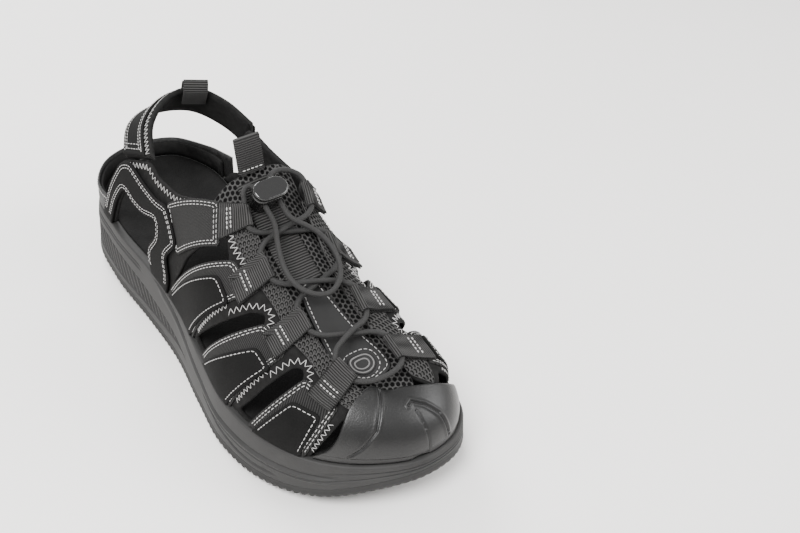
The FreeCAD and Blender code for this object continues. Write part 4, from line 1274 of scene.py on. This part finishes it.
# ------------------------------------------------------------------ tongue
TONGUE_REACH = {-1: smooth([(147, 24), (200, 27), (240, 25), (260, 20), (273, 15)]),
                1: smooth([(147, 24), (200, 26), (240, 24), (260, 21), (273, 16)])}
stations = np.linspace(147, 273, 29)
tongue_ring = np.vstack([np.column_stack([stations, -TONGUE_REACH[-1](stations)]),
                         np.column_stack([stations[::-1], TONGUE_REACH[1](stations[::-1])])])
mesh_sheet("tongue_mesh", OVER_RIDGE, [tongue_ring], TONGUE_MESH, (1.0, 1.0), slot="mesh",
           replaces=("tongue",))


def ribbed_strip(name, field, start, end, half, base, rise, pitch, rib, material, **made):
    """Webbing laid over a surface with its ribs across the strip."""
    a = np.arange(start, end, pitch / 7)
    b = np.array([-1, -0.97, -0.8, -0.5, -0.25, 0, 0.25, 0.5, 0.8, 0.97, 1])
    q = np.stack(np.broadcast_arrays(a[:, None], b[None] * half), 2).reshape(-1, 2)
    p, n = field(q)
    lift = rise + rib * np.cos(a * 2 * math.pi / pitch)
    lift = lift[:, None] * np.where(np.abs(b) > 0.99, 0.5, 1.0)[None]
    lift[0] *= 0.4
    lift[-1] *= 0.4
    top = p + n * (base + lift.reshape(-1, 1))
    low = p + n * base
    rows, cols = len(a), len(b)
    faces = grid_faces(rows, cols) + grid_faces(rows, cols, start=rows * cols, flip=True)
    off = rows * cols
    border = ([i * cols for i in range(rows)] + [(rows - 1) * cols + k for k in range(1, cols)]
              + [i * cols + cols - 1 for i in range(rows - 2, -1, -1)]
              + [k for k in range(cols - 2, 0, -1)])
    for k, i in enumerate(border):
        j = border[(k + 1) % len(border)]
        faces.append([i, j, off + j, off + i])
    fix = np.dot(np.cross(top[cols] - top[0], top[1] - top[0]), n[0]) < 0
    if fix:
        faces = [f[::-1] for f in faces]
    new_mesh(name, np.vstack([top, low]), faces, material, uv=np.vstack([q, q]), **made)


ribbed_strip("tongue_webbing_soft", OVER_RIDGE, 151.5, 204, 9.5, -1.25, 1.1, 1.25, 0.25, "webbing",
             slot="webbing", replaces=("tongue_webbing",))
strip_ring = rounded([(203, 0), (205, -6), (220, -8.5), (238, -11), (249, -14), (258.5, -13.5),
                      (260.5, 0), (258.5, 13.5), (249, 14), (238, 11), (220, 8.5), (205, 6)],
                     0.45, sharp=())
panel("tongue_strip_soft", OVER_RIDGE, [strip_ring], TONGUE_LEATHER, "leather", (1.0, 1.0),
      edge=0.4, slot="leather_strip", replaces=("tongue_strip",))
stitched_edge(OVER_RIDGE, strip_ring, 1.7, 0.35)
FULL_TURN = np.linspace(0, 2 * math.pi, 60, endpoint=False)
BADGE = np.array([250.2, 0.5])


def oval_ring(long, wide, power=2.4):
    c, s = np.cos(FULL_TURN), np.sin(FULL_TURN)
    return BADGE + np.column_stack([np.sign(c) * np.abs(c) ** (2 / power) * wide,
                                    np.sign(s) * np.abs(s) ** (2 / power) * long])


panel("tongue_badge_soft", OVER_RIDGE, [oval_ring(7.4, 5.3)], BADGE_LEATHER, "leather", (1.0, 1.0),
      step=1.2, edge=0.3, slot="leather_strip", replaces=("tongue_badge",))
for k, (long, wide) in enumerate(((6.6, 4.6), (4.4, 2.7))):
    panel(f"badge_outline_{k + 1}", OVER_RIDGE, [oval_ring(long, wide), oval_ring(long - 0.7,
                                                                                 wide - 0.7)],
          BADGE_PRINT, "outline", (1.0, 1.0), step=1.0, ring_step=0.5, edge=0.15,
          slot="leather_strip")
stitch_line(OVER_RIDGE, oval_ring(9.2, 7.0), 0.38, closed=True)


# ------------------------------------------------------------------ heel strap
STRAP_TOP = [(-28, 93, 104), (-15, 67, 108), (4, 51, 111), (21, 49, 110), (33, 61, 104),
             (38, 82, 98)]
STRAP_FOOT = [(-33, 67, 93), (-18, 44, 95), (3, 33, 92), (24, 36, 88), (37, 52, 81),
              (41, 76, 76)]
S_MM, T_MM = 27.0, 18.0


def strap_field():
    top = np.array([(x, HALF - l, z) for x, l, z in STRAP_TOP], float)
    low = np.array([(x, HALF - l, z) for x, l, z in STRAP_FOOT], float)
    ks = np.linspace(0, 5, 41)
    ts = np.linspace(0, 1, 9)
    t3, l3 = catmull(top, ks), catmull(low, ks)
    p = l3[:, None] * (1 - ts)[None, :, None] + t3[:, None] * ts[None, :, None]
    ahead = np.gradient(p, axis=0)
    across = (t3 - l3)[:, None] * np.ones((1, 9, 1))
    n = np.cross(across, ahead)
    n /= np.linalg.norm(n, axis=2)[:, :, None]
    return lookup(p, n, ks * S_MM, ts * T_MM)


ON_STRAP = strap_field()


def strap_ring(low, high, start=0.0, end=5.0):
    s = np.linspace(start, end, 24) * S_MM
    return np.vstack([np.column_stack([s, s * 0 + low * T_MM]),
                      np.column_stack([s[::-1], s * 0 + high * T_MM])])


panel("heel_strap_lining_soft", ON_STRAP, [strap_ring(0, 1)], (0.0, 3.0), "neoprene", (1.0, 1.0),
      edge=0.9, slot="neoprene", replaces=("heel_strap_lining", "heel_strap_foam"))
outer_ring = strap_ring(0.03, 0.8)
panel("heel_strap_outer_soft", ON_STRAP, [outer_ring], (3.05, 4.3), "nubuck", (1.0, 1.0),
      edge=0.5, slot="nubuck", replaces=("heel_strap_outer",))
for inset in (1.7, 3.3):
    stitched_edge(ON_STRAP, outer_ring, inset, 4.35)
s_line = np.linspace(0.06, 4.94, 40) * S_MM
zigzag(ON_STRAP, np.column_stack([s_line, s_line * 0 + 0.885 * T_MM]), 3.1)


def folded_tab(name, profile, half, along_axis, thick, body, replaces, pitch=1.25):
    """A piece of webbing bent along a profile, with ribs across it, closed all round."""
    line = resample(profile, 0.19)
    tangent = unit(np.gradient(line, axis=0))
    out = unit(np.cross(tangent, np.repeat(along_axis[None], len(line), 0)))
    d = along(line)
    size = thick / 2 - 0.12 + 0.12 * np.cos(d * 2 * math.pi / pitch)
    sides = [(-1, 0.55), (-0.96, 1), (-0.4, 1), (0.4, 1), (0.96, 1), (1, 0.55)]
    sides = sides + [(a, -b) for a, b in sides[::-1]]
    verts = np.array([line + along_axis * (a * half) + out * (size * b)[:, None]
                      for a, b in sides])
    rows, cols = len(sides), len(line)
    faces = grid_faces(rows, cols, wrap_rows=True)
    faces += [[i * cols for i in range(rows)], [i * cols + cols - 1 for i in range(rows)][::-1]]
    uv = np.array([np.column_stack([d, d * 0 + a * half]) for a, b in sides])
    new_mesh(name, verts.reshape(-1, 3), faces, "webbing", body, "webbing", uv.reshape(-1, 2),
             replaces)


# pull tab on the heel strap, folded over and hanging inside
def tab_frame():
    def at(table, k):
        x, l, z = table[k]
        return np.array([x, HALF - l, z], float)
    edge, foot = at(STRAP_TOP, 3), at(STRAP_FOOT, 3)
    ahead = at(STRAP_TOP, 4) - at(STRAP_TOP, 2)
    normal = np.cross(edge - foot, ahead)
    normal /= np.linalg.norm(normal)
    upward = (edge - foot) / np.linalg.norm(edge - foot)
    side = np.cross(upward, normal)
    side /= np.linalg.norm(side)
    return edge + normal * 2.15 + upward * 3.2, upward, normal, side


tab_axis, tab_up, tab_out, tab_side = tab_frame()
profile = [tab_axis - tab_out * 5.0 - tab_up * h for h in np.linspace(13.3, 0, 14)]
profile += [tab_axis - tab_out * 5.0 * math.cos(a) + tab_up * 5.0 * math.sin(a)
            for a in np.linspace(0.05, math.pi / 2, 12)]
folded_tab("heel_pull_tab_soft", np.array(profile), 7.0, tab_side, 1.7, "heel_tab",
           ("heel_pull_tab",))
profile = [tab_axis + tab_out * 3.35 - tab_up * h for h in np.linspace(2.9, 15.9, 14)]
folded_tab("heel_tab_anchor_soft", np.array(profile), 7.0, tab_side, 1.6, "sandal",
           ("heel_tab_anchor",))
for h in (5.5, 7.5, 13.6):
    spots_on = np.array([tab_axis + tab_out * 4.25 - tab_up * h + tab_side * s
                         for s in np.linspace(-5.6, 5.6, 25)])
    first = np.arange(5) * 2.3
    lay_stitches(spots_on[0] + tab_side * first[:, None],
                 spots_on[0] + tab_side * (first + 1.7)[:, None], np.repeat(tab_out[None], 5, 0),
                 thick=0.3)

# pull loop on the tongue
pull_base = np.array([0, HALF - 148.2, 118.1])
pull_top = np.array([0, HALF - 143.6, 137.8])
height = np.linalg.norm(pull_top - pull_base)
pull_up = (pull_top - pull_base) / height
pull_front = np.cross([1.0, 0, 0], pull_up)
profile = [pull_base - pull_front * 0.95 + pull_up * h for h in np.linspace(0.05, height - 1.7, 20)]
profile += [pull_base + pull_up * (height - 1.7) - pull_front * 0.95 * math.cos(a)
            + pull_up * 0.95 * math.sin(a) for a in np.linspace(0.2, math.pi - 0.2, 10)]
profile += [pull_base + pull_front * 0.95 + pull_up * h
            for h in np.linspace(height - 1.7, 0.05, 20)]
folded_tab("tongue_pull_loop_soft", np.array(profile), 7.2, np.array([1.0, 0, 0]), 1.4,
           "tongue_loop", ("tongue_pull_loop",))
front_sign = -1.0 if pull_front[1] > 0 else 1.0
tack = pull_base + pull_up * 2.4 + pull_front * 1.72 * front_sign
first = -5.9 + np.arange(5) * 2.45
lay_stitches(tack + np.array([1.0, 0, 0]) * first[:, None],
             tack + np.array([1.0, 0, 0]) * (first + 1.8)[:, None],
             np.repeat((pull_front * front_sign)[None], 5, 0), body="tongue_loop", thick=0.4)


# ------------------------------------------------------------------ heel and toe
def height_to_v(place, z):
    i = np.mod(np.floor(place).astype(int), AROUND)
    l = RAIL[i, 0]
    full = np.where(i < TOE, FULL_LATERAL(l), FULL_MEDIAL(l))
    share = (z - SOLE_TOP(l)) / (RIDGE_HEIGHT(RIDGE_STATION(l)) - SOLE_TOP(l))
    return (np.arcsin(np.maximum(share, 0) ** (1 / full)) * 2 / math.pi) ** full


def heel_ring(medial, lateral, level):
    a, b = rail_place(1, medial) - AROUND, rail_place(-1, lateral)
    u = np.linspace(0, 1, 50)
    place = a + (b - a) * u
    top = height_to_v(place, level(u))
    return np.vstack([np.column_stack([place, place * 0 + FOOT]),
                      np.column_stack([place, top])[::-1]])


COUNTER_TOP = smooth([(0, 62), (0.12, 57), (0.3, 54), (0.7, 54), (0.88, 55), (1, 58)])
HEEL_LINING_TOP = smooth([(0, 53), (0.2, 52), (0.5, 51.5), (0.8, 52), (1, 53)])
counter_ring = heel_ring(58, 52, COUNTER_TOP)
panel("heel_counter_soft", rail_field, [counter_ring], COUNTER, "counter", edge=0.5,
      slot="counter_skin", replaces=("heel_counter",))
stitched_edge(rail_field, counter_ring, 1.8, COUNTER[1] + THREAD_LIFT, keep=above_sole(0.05))
panel("heel_lining_soft", rail_field, [heel_ring(47, 39, HEEL_LINING_TOP)], LINING,
      "neoprene", edge=0.6, slot="smooth_lining", replaces=("heel_lining",))

TOE_BACK = smooth([(0, 0.03), (0.07, 0.15), (0.11, 0.3), (0.14, 0.55), (0.2, 0.73), (0.32, 0.87),
                   (0.5, 0.9), (0.68, 0.84), (0.78, 0.66), (0.88, 0.37), (1, 0.03)])
toe_a, toe_b = rail_place(-1, 264), rail_place(1, 266)
u = np.linspace(0, 1, 90)
toe_ring = np.vstack([np.column_stack([toe_a + (toe_b - toe_a) * u, u * 0 + FOOT]),
                      np.column_stack([toe_a + (toe_b - toe_a) * u, TOE_BACK(u)])[::-1]])
# lines over the cap, (share round it, v), and how far a soft lip stands up beside each
CREASES = [([(0.37, 0.86), (0.33, 0.66), (0.29, 0.42), (0.22, 0.22), (0.16, 0.1)], 0.12),
           ([(0.565, 0.6), (0.55, 0.46), (0.545, 0.3), (0.535, 0.06)], 0.0),
           ([(0.55, 0.68), (0.6, 0.7), (0.645, 0.6), (0.665, 0.44), (0.655, 0.14)], 0.4)]


def toe_relief(q):
    """Curved creases and a step above the rim, pressed into the rubber."""
    p, _ = rail_field(q)
    out = -0.35 * np.clip((0.1 - q[:, 1]) / 0.02, 0, 1)
    for line, lip in CREASES:
        lu, lv = np.array(line).T
        crease = resample(np.column_stack([toe_a + (toe_b - toe_a) * lu, lv]), 0.3)
        c, _ = rail_field(soft_ring(crease, 0.4))
        d = distance_to(p, c)
        out += lip * np.exp(-((d - 1.2) / 0.8) ** 2) - 0.75 * np.exp(-(d / 0.55) ** 2)
    return out


panel("toe_cap_soft", rail_field, [toe_ring], TOE_RUBBER, "toe", step=0.6, ring_step=0.8,
      edge=0.9, relief=toe_relief, slot="rubber", replaces=("toe_cap",))


# ------------------------------------------------------------------ sole unit
OUTSOLE_THICKNESS = 5.5
EDGE_SPACING = 0.7
EDGE = resample(OUT, EDGE_SPACING, closed=True)
EDGE_STEP = np.roll(EDGE, -3, 0) - np.roll(EDGE, 3, 0)
EDGE_STEP /= np.linalg.norm(EDGE_STEP, axis=1)[:, None]
INWARD = np.column_stack([-EDGE_STEP[:, 1], EDGE_STEP[:, 0]])
EDGE_RUN = np.arange(len(EDGE)) * EDGE_SPACING
MEDIAL = EDGE[:, 1] > 0
EDGE_STATION = EDGE[:, 0]


def flare_at(z):
    """How far inside the outline the wall stands at a height; it spreads towards the ground."""
    return -3.1 + (z + 2) / 46 * 3.3

def wall_points(inset, z):
    """Points round the sole wall; inset and z are arrays of (rows, points round)."""
    p = EDGE[None] + INWARD[None] * (flare_at(z) + inset)[:, :, None]
    return np.stack([p[:, :, 1], HALF - p[:, :, 0], z], 2)


def step_in(value, soft):
    """0 below zero, 1 above `soft`, smooth between."""
    t = np.clip(value / soft, 0, 1)
    return t * t * (3 - 2 * t)


def groove(distance, half):
    """1 on a line and 0 beyond its half width."""
    return 1 - step_in(np.abs(distance) - half * 0.35, half * 0.65)


LATERAL_LOW = smooth([(0, 0.1), (60, 0.12), (110, 0.17), (160, 0.3), (300, 0.3)])
LATERAL_HIGH = smooth([(0, 0.62), (40, 0.66), (80, 0.6), (120, 0.48), (160, 0.31), (300, 0.31)])
SWEEP = smooth([(100, 1.04), (125, 0.93), (165, 0.7), (205, 0.56), (250, 0.55), (300, 0.5)])
LOWER_SWEEP = smooth([(180, 0.42), (195, 0.36), (212, 0.24), (232, 0.16), (260, 0.2)])
LEAF_LOW = smooth([(45, 0.42), (75, 0.32), (110, 0.26), (150, 0.28), (190, 0.4), (218, 0.56)])
LEAF_HIGH = smooth([(45, 0.44), (75, 0.58), (110, 0.68), (150, 0.7), (190, 0.68), (218, 0.6)])
FLOW = smooth([(30, 0.62), (80, 0.76), (140, 0.86), (200, 0.84), (250, 0.66), (296, 0.5)])


def wall_relief(h, tall):
    """How far the moulded wall stands in (-) or out (+), for rows of height shares."""
    l = EDGE_STATION[None] + 0 * h
    z = h * tall
    out = 0.7 * np.sin(np.clip(h, 0, 1) * math.pi) ** 0.7
    # lateral wedge of slanted bars under a plain band
    depth = np.minimum((h - LATERAL_LOW(l)) * tall, (LATERAL_HIGH(l) - h) * tall)
    side = -1.3 * step_in(depth, 0.9) * step_in(l - 5, 3)
    bars = np.cos((l + 0.55 * z) * 2 * math.pi / 5.2)
    side += 1.0 * step_in(bars + 0.15, 0.5) * step_in(depth - 0.7, 0.6) * step_in(l - 8, 3)
    fade = 1 - step_in(l - 84, 10)
    for level in (0.8, 0.87):
        side -= 0.7 * groove((h - level) * tall, 0.8) * fade
    side -= 1.1 * groove((h - SWEEP(l)) * tall, 1.5) * step_in(l - 104, 8)
    side += 0.5 * groove((h - SWEEP(l)) * tall + 2.6, 2.4) * step_in(l - 112, 8)
    side -= 0.8 * groove((h - SWEEP(l) + 0.16) * tall, 1.0) * step_in(l - 170, 25)
    side -= 0.9 * groove((h - LOWER_SWEEP(l)) * tall, 1.3) * step_in(l - 182, 6) * (
        1 - step_in(l - 244, 8))
    # medial leaf of cross bars, fine lines under it and long ridges over it
    depth = np.minimum((h - LEAF_LOW(l)) * tall, (LEAF_HIGH(l) - h) * tall)
    inner = -1.6 * step_in(depth, 1.0) * step_in(l - 46, 4) * (1 - step_in(l - 214, 4))
    bars = np.cos((l - 0.35 * z) * 2 * math.pi / 9.6)
    inner += 1.3 * step_in(bars - 0.62, 0.2) * step_in(depth - 0.9, 0.5) * step_in(l - 52, 4) * (
        1 - step_in(l - 206, 4))
    below = (LEAF_LOW(l) - h) * tall
    hatch = step_in(below - 1.6, 1.2) * step_in(h * tall - 1.4, 1.0) * step_in(l - 34, 8) * (
        1 - step_in(l - 150, 12))
    inner -= 0.35 * hatch * (0.5 + 0.5 * np.cos((z + 0.16 * l) * 2 * math.pi / 1.5))
    inner -= 0.6 * groove(below - 0.9, 0.7) * step_in(l - 40, 8) * (1 - step_in(l - 160, 12))
    for shift, size in ((0, 1.1), (-0.1, 0.7), (0.09, 0.6)):
        inner -= size * groove((h - FLOW(l) - shift) * tall, 1.0) * step_in(l - 26, 14) * (
            1 - step_in(l - 276, 14))
    heel = (1 - step_in(l - 30, 10)) * step_in(h - 0.12, 0.06) * (1 - step_in(h - 0.8, 0.06))
    inner -= 0.3 * heel * (0.5 + 0.5 * np.cos(z * 2 * math.pi / 2.0))
    share = np.clip(0.5 + EDGE[:, 1][None] / 8, 0, 1)
    out = out + side * (1 - share) + inner * share
    # stacked lines round the toe
    toe = step_in(l - 268, 14)
    out = out * (1 - toe) + toe * (0.4 - 0.7 * groove((h - 0.72) * tall, 0.8)
                                   - 0.7 * groove((h - 0.4) * tall, 0.8))
    return out * step_in(h * tall, 0.8) * step_in((1 - h) * tall, 0.8)


split_z = SOLE_BOTTOM(EDGE_STATION) + OUTSOLE_THICKNESS
top_z = SOLE_TOP(EDGE_STATION)
tall = (top_z - split_z)[None]
h = np.linspace(0, 1, 64)[:, None] + 0 * tall
TOP_ROUND = 1.2     # radius of the wall's rounded top edge
wall_z = split_z[None] + h * (tall - TOP_ROUND)
rows = [wall_points(-wall_relief(h, tall), wall_z)]
roll = np.linspace(0.25, math.pi / 2, 5)[:, None]
rows.append(wall_points(TOP_ROUND - TOP_ROUND * np.cos(roll) + 0 * tall,
                        top_z[None] - TOP_ROUND + TOP_ROUND * np.sin(roll)))
floor_z = RECESS_FLOOR(EDGE_STATION)
for inset, z in ((6.0, top_z), (8.6, top_z), (9.0, top_z - 0.5), (9.0, floor_z - 0.2),
                 (9.0, split_z)):
    rows.append(wall_points(inset - flare_at(z[None]), z[None]))
verts = np.vstack(rows)
faces = grid_faces(len(verts), len(EDGE), wrap_rows=True, wrap_cols=True, flip=True)
run = np.broadcast_to(EDGE_RUN[None], verts.shape[:2])
climb = np.broadcast_to(np.arange(len(verts))[:, None] * 0.6, verts.shape[:2])
new_mesh("midsole_soft", verts.reshape(-1, 3), faces, "midsole", slot="eva_foam",
         uv=np.stack([run, climb], 2).reshape(-1, 2), replaces=("midsole",))

# tread pods: station, share of the half width, length, width, slant from the foot's axis
PODS = [(43, 0.5, 25, 8.6, 4), (67, 0.54, 20, 7.6, 12), (87, 0.55, 16.5, 6.8, 18)]
PODS += [(104 + 16.6 * i, 0.55 + 0.01 * i, 13.6, 6.0, 28) for i in range(8)]
PODS += [(34, -0.42, 9.5, 16, 6), (56, -0.5, 9, 12.5, 14), (77, -0.52, 10, 9, 10),
         (96, -0.54, 11.5, 7, 20), (114, -0.54, 13, 6.4, 26), (131, -0.55, 14, 6.2, 28),
         (148, -0.56, 14.5, 6.0, 28)]
PODS += [(166 + 13.2 * i, -0.57, 19, 4.8, 26) for i in range(4)]
PODS += [(222, -0.6, 13, 7, 22), (243, -0.5, 12, 7, 14)]
BRIGHT_PODS = [(223, 0.805, 12.5, 7.0, 12), (247, 0.42, 14, 9.5, 0), (275, 0.05, 12, 6.4, -12)]
TREAD_FLOOR = 0.8
LUG_PITCH, TOOTH_PITCH = 6.4, 4.2

def on_lugs(station, medial):
    """Where the rim has large lugs instead of small teeth."""
    return medial & (station > 14) & (station < 212)


def sole_half_width(side, station):
    pts = EDGE[(EDGE[:, 1] > 0) if side > 0 else (EDGE[:, 1] < 0)]
    order = np.argsort(pts[:, 0])
    return abs(np.interp(station, pts[order, 0], pts[order, 1]))


def oval_reach(q, pod):
    """1 on the edge of an oval pod, less inside."""
    station, share, length, width, slant = pod
    w = sole_half_width(share, station) * share
    a = math.radians(slant)
    dl, dw = q[:, 0] - station, q[:, 1] - w
    along_pod = dl * math.cos(a) + dw * math.sin(a)
    across_pod = dw * math.cos(a) - dl * math.sin(a)
    return np.hypot(along_pod / (length / 2), across_pod / (width / 2))


def tread_height(q):
    """How far the tread lies above the lowest face of the sole, over (station, width)."""
    near = np.zeros(len(q), int)
    inset = np.zeros(len(q))
    for k in range(0, len(q), BLOCK):
        d = np.linalg.norm(q[k:k + BLOCK, None] - EDGE[None], axis=2)
        near[k:k + BLOCK] = d.argmin(1)
        inset[k:k + BLOCK] = d.min(1)
    inset = inset + 2.8
    l, w = q.T
    run = EDGE_RUN[near]
    medial = MEDIAL[near]
    rim = np.where(medial & (l > 30) & (l < 215), 10.5, 7.0)
    up = TREAD_FLOOR * step_in(inset - rim, 1.0)
    # notches cut in the rim: small teeth, larger lugs along the medial side
    lug = on_lugs(l, medial)
    pitch = np.where(lug, LUG_PITCH, TOOTH_PITCH)
    reach = np.where(lug, 8.2, 5.0)
    plain = (l > 268) | (l > 212) & (w > 0)
    tooth = np.cos(run * 2 * math.pi / pitch)
    notch = step_in(tooth - np.where(lug, 0.45, 0.2), 0.35) * (1 - step_in(inset - reach, 0.8))
    up = np.maximum(up, 2.0 * notch * np.where(plain, 0.4, 1.0))
    # arcs and splits round the heel
    heel = 1 - step_in(l - 34 + 0.1 * np.abs(w), 3)
    arcs = np.maximum(groove(inset - 8.5, 0.9), groove(inset - 15.5, 0.9))
    radial = groove(np.mod(run + 7, 15) - 7.5, 0.9) * step_in(inset - 8.5, 0.5) * (
        1 - step_in(inset - 15.5, 0.5))
    up = up * (1 - heel * step_in(inset - 7.5, 1) * (1 - step_in(inset - 16, 1)))
    up = np.maximum(up, 1.6 * heel * np.maximum(arcs, radial))
    free = np.ones(len(q))
    for pod in PODS + BRIGHT_PODS:
        reach = oval_reach(q, pod)
        size = min(pod[2], pod[3]) / 2
        edge = (reach - 1) * size
        up = np.maximum(up, 1.9 * groove(edge - 0.7, 0.9))
        free *= step_in(edge - 1.6, 1.2)
    # chevrons between the two rows under the heel
    centre = 0.9 + 0 * l
    vee = np.mod(l + 0.9 * np.abs(w - centre), 6.2) - 3.1
    on = step_in(l - 42, 3) * (1 - step_in(l - 122, 3)) * (1 - step_in(np.abs(w - centre) - 5.2, 0.6))
    up = np.maximum(up, 1.7 * groove(vee, 1.25) * on * free)
    # curved parallel grooves in a leaf under the ball of the foot
    t = np.clip((l - 172) / 98, 0, 1)
    middle = -9 - 10 * t + 14 * t * t
    half = 12.5 * np.sin(math.pi * t) ** 0.75 + 0.01
    edge = half - np.abs(w - middle)
    leaf = step_in(edge, 0.6) * step_in(t, 0.02) * (1 - step_in(t - 0.98, 0.02))
    curved = np.mod(l * 0.62 - w * 0.78 + 0.012 * (w - middle) ** 2, 3.3) - 1.65
    up = np.maximum(up, 1.8 * groove(curved, 0.95) * step_in(edge - 0.9, 0.8) * leaf * free)
    up = np.maximum(up, 1.8 * groove(edge - 0.2, 0.8) * (t > 0) * (t < 1) * free)
    # short slanted dimples beside the rows
    for share in (0.3, 0.79, -0.28, -0.8):
        w_line = share * np.where(w > 0, sole_half_width(1, l), sole_half_width(-1, l))
        w_line = np.abs(w_line) * np.sign(share)
        dl = np.mod(l - 0.4 * (w - w_line), 8.3) - 4.15
        spot = np.hypot(dl / 2.6, (w - w_line) / 1.1)
        ok = (l > 50) & (l < 262) & (leaf < 0.01) & (on < 0.01)
        up = np.maximum(up, 1.5 * (1 - step_in(spot - 0.6, 0.4)) * ok * free
                        * step_in(inset - rim - 1, 1))
    return up


tooth_pitch = np.where(on_lugs(EDGE_STATION, MEDIAL), LUG_PITCH, TOOTH_PITCH)
tooth = step_in(np.cos(EDGE_RUN * 2 * math.pi / tooth_pitch) - 0.3, 0.35) * np.where(
    (EDGE_STATION > 268) | (EDGE_STATION > 240) & MEDIAL, 0.25, 1.0)
rows = []
for share in np.linspace(1, 0, 9):
    z = SOLE_BOTTOM(EDGE_STATION) + OUTSOLE_THICKNESS * share
    cut = 1.1 * tooth * (1 - step_in(share * OUTSOLE_THICKNESS - 1.5, 0.8))
    lip = -0.5 * math.sin(math.pi * share) * (0.3 if share > 0.6 else 1.0)
    rows.append(wall_points((cut + lip + (0.5 if share == 0 else 0))[None], z[None]))
wall = np.vstack(rows)
ring = np.column_stack([HALF - wall[-1][:, 1], wall[-1][:, 0]])
faces, grid = fill([ring], np.array([1.0, 1.0]), 0.72)
bottom_q = np.vstack([ring, grid])
up_by = tread_height(bottom_q)
bottom = np.column_stack([bottom_q[:, 1], HALF - bottom_q[:, 0],
                          SOLE_BOTTOM(bottom_q[:, 0]) + up_by])
around = len(EDGE)
body = wall[:-1].reshape(-1, 3)
offset = len(body)
out_faces = grid_faces(len(wall) - 1, around, wrap_cols=True)
last_row = offset - around
out_faces += [[last_row + k, offset + k, offset + (k + 1) % around, last_row + (k + 1) % around]
              for k in range(around)]
p = bottom[faces[0]]
turned = np.cross(p[1] - p[0], p[2] - p[0])[2] > 0
out_faces += [[offset + k for k in (f[::-1] if turned else f)] for f in faces]
out_faces.append(list(range(around)))
new_mesh("outsole_soft", np.vstack([body, bottom]), out_faces, "outsole", slot="rubber",
         uv=np.vstack([body[:, :2], bottom[:, :2]]), replaces=("outsole", "tread_pods"))


OVAL_SIDES = 36


def pod_mesh(name, pods, material):
    """Low domed ovals standing on the tread."""
    verts, faces = [], []
    phase = np.arange(OVAL_SIDES) * 2 * math.pi / OVAL_SIDES
    levels = [(1.0, 1.5), (1.0, 0.35), (0.93, 0.12), (0.7, 0.05), (0.25, 0.05)]
    for pod in pods:
        station, share, length, width, slant = pod
        w = sole_half_width(share, station) * share
        a = math.radians(slant)
        start = len(verts)
        for size, lift in levels:
            taper = 1 + (0.22 * np.cos(phase) if pod in BRIGHT_PODS else 0)
            da, dc = np.cos(phase) * length / 2 * size, np.sin(phase) * width / 2 * size * taper
            dl, dw = da * math.cos(a) - dc * math.sin(a), da * math.sin(a) + dc * math.cos(a)
            l = station + dl
            verts += np.column_stack([w + dw, HALF - l, SOLE_BOTTOM(l) + lift]).tolist()
        faces += tube_faces(len(levels), OVAL_SIDES, start)
        last_ring = start + (len(levels) - 1) * OVAL_SIDES
        faces.append([last_ring + k for k in range(OVAL_SIDES)])
        faces.append([start + k for k in range(OVAL_SIDES)][::-1])
    verts = np.array(verts)
    new_mesh(name, verts, faces, material, slot="rubber", uv=verts[:, :2])


pod_mesh("tread_ovals", PODS, "pod")
pod_mesh("tread_bright_ovals", BRIGHT_PODS, "bright_pod")

# footbed: knit-covered, its edge turned up over the sole's ledge
bed_ring = inset_outline(4.3)
faces, grid = fill([bed_ring], np.array([1.0, 1.0]), 1.5)
q = np.vstack([bed_ring, grid])
inset = distance_to(q, OUT)
l = q[:, 0]
bed_top = RECESS_FLOOR(l) + 8.5
edge_top = SOLE_TOP(l) + 1.1
rise = (1 - step_in(inset - 4.3, 17.0))
top_z_bed = bed_top + (edge_top - bed_top) * rise + 0.9 * np.exp(-((l - 135) / 45) ** 2) * (
    q[:, 1] > 0) * step_in(q[:, 1] - 4, 20)
low_z = np.where(inset < 9.6, SOLE_TOP(l) + 0.05, RECESS_FLOOR(l) + 2.1)
low_z = np.minimum(low_z, top_z_bed - 0.5)
count = len(q)
verts = np.vstack([np.column_stack([q[:, 1], HALF - l, top_z_bed]),
                   np.column_stack([q[:, 1], HALF - l, low_z])])
p = verts[faces[0]]
turned = np.cross(p[1] - p[0], p[2] - p[0])[2] < 0
out_faces = []
for f in faces:
    f = f[::-1] if turned else f
    out_faces.append(f)
    out_faces.append([count + k for k in f[::-1]])
n_ring = len(bed_ring)
for k in range(n_ring):
    k2 = (k + 1) % n_ring
    face = [k, k2, count + k2, count + k]
    out_faces.append(face if turned else face[::-1])
new_mesh("footbed_soft", verts, out_faces, "bed", slot="footbed_fabric",
         uv=np.vstack([q, q]), replaces=("footbed",))

# ------------------------------------------------------------------ the frame's own pieces
NODE_MATERIALS = {"cord_lock_body": "lock", "cord_lock_button": "lock",
                  "cord_lock_spring": "steel", "shank": "steel", "heel_wedge": "midsole",
                  "lasting_board": "bed"}
for obj in bpy.data.objects:
    for node, key in NODE_MATERIALS.items():
        if obj.type == "MESH" and obj.name.split(".")[0] == node:
            obj.data.materials.clear()
            obj.data.materials.append(MATERIALS[key])

build_thread()
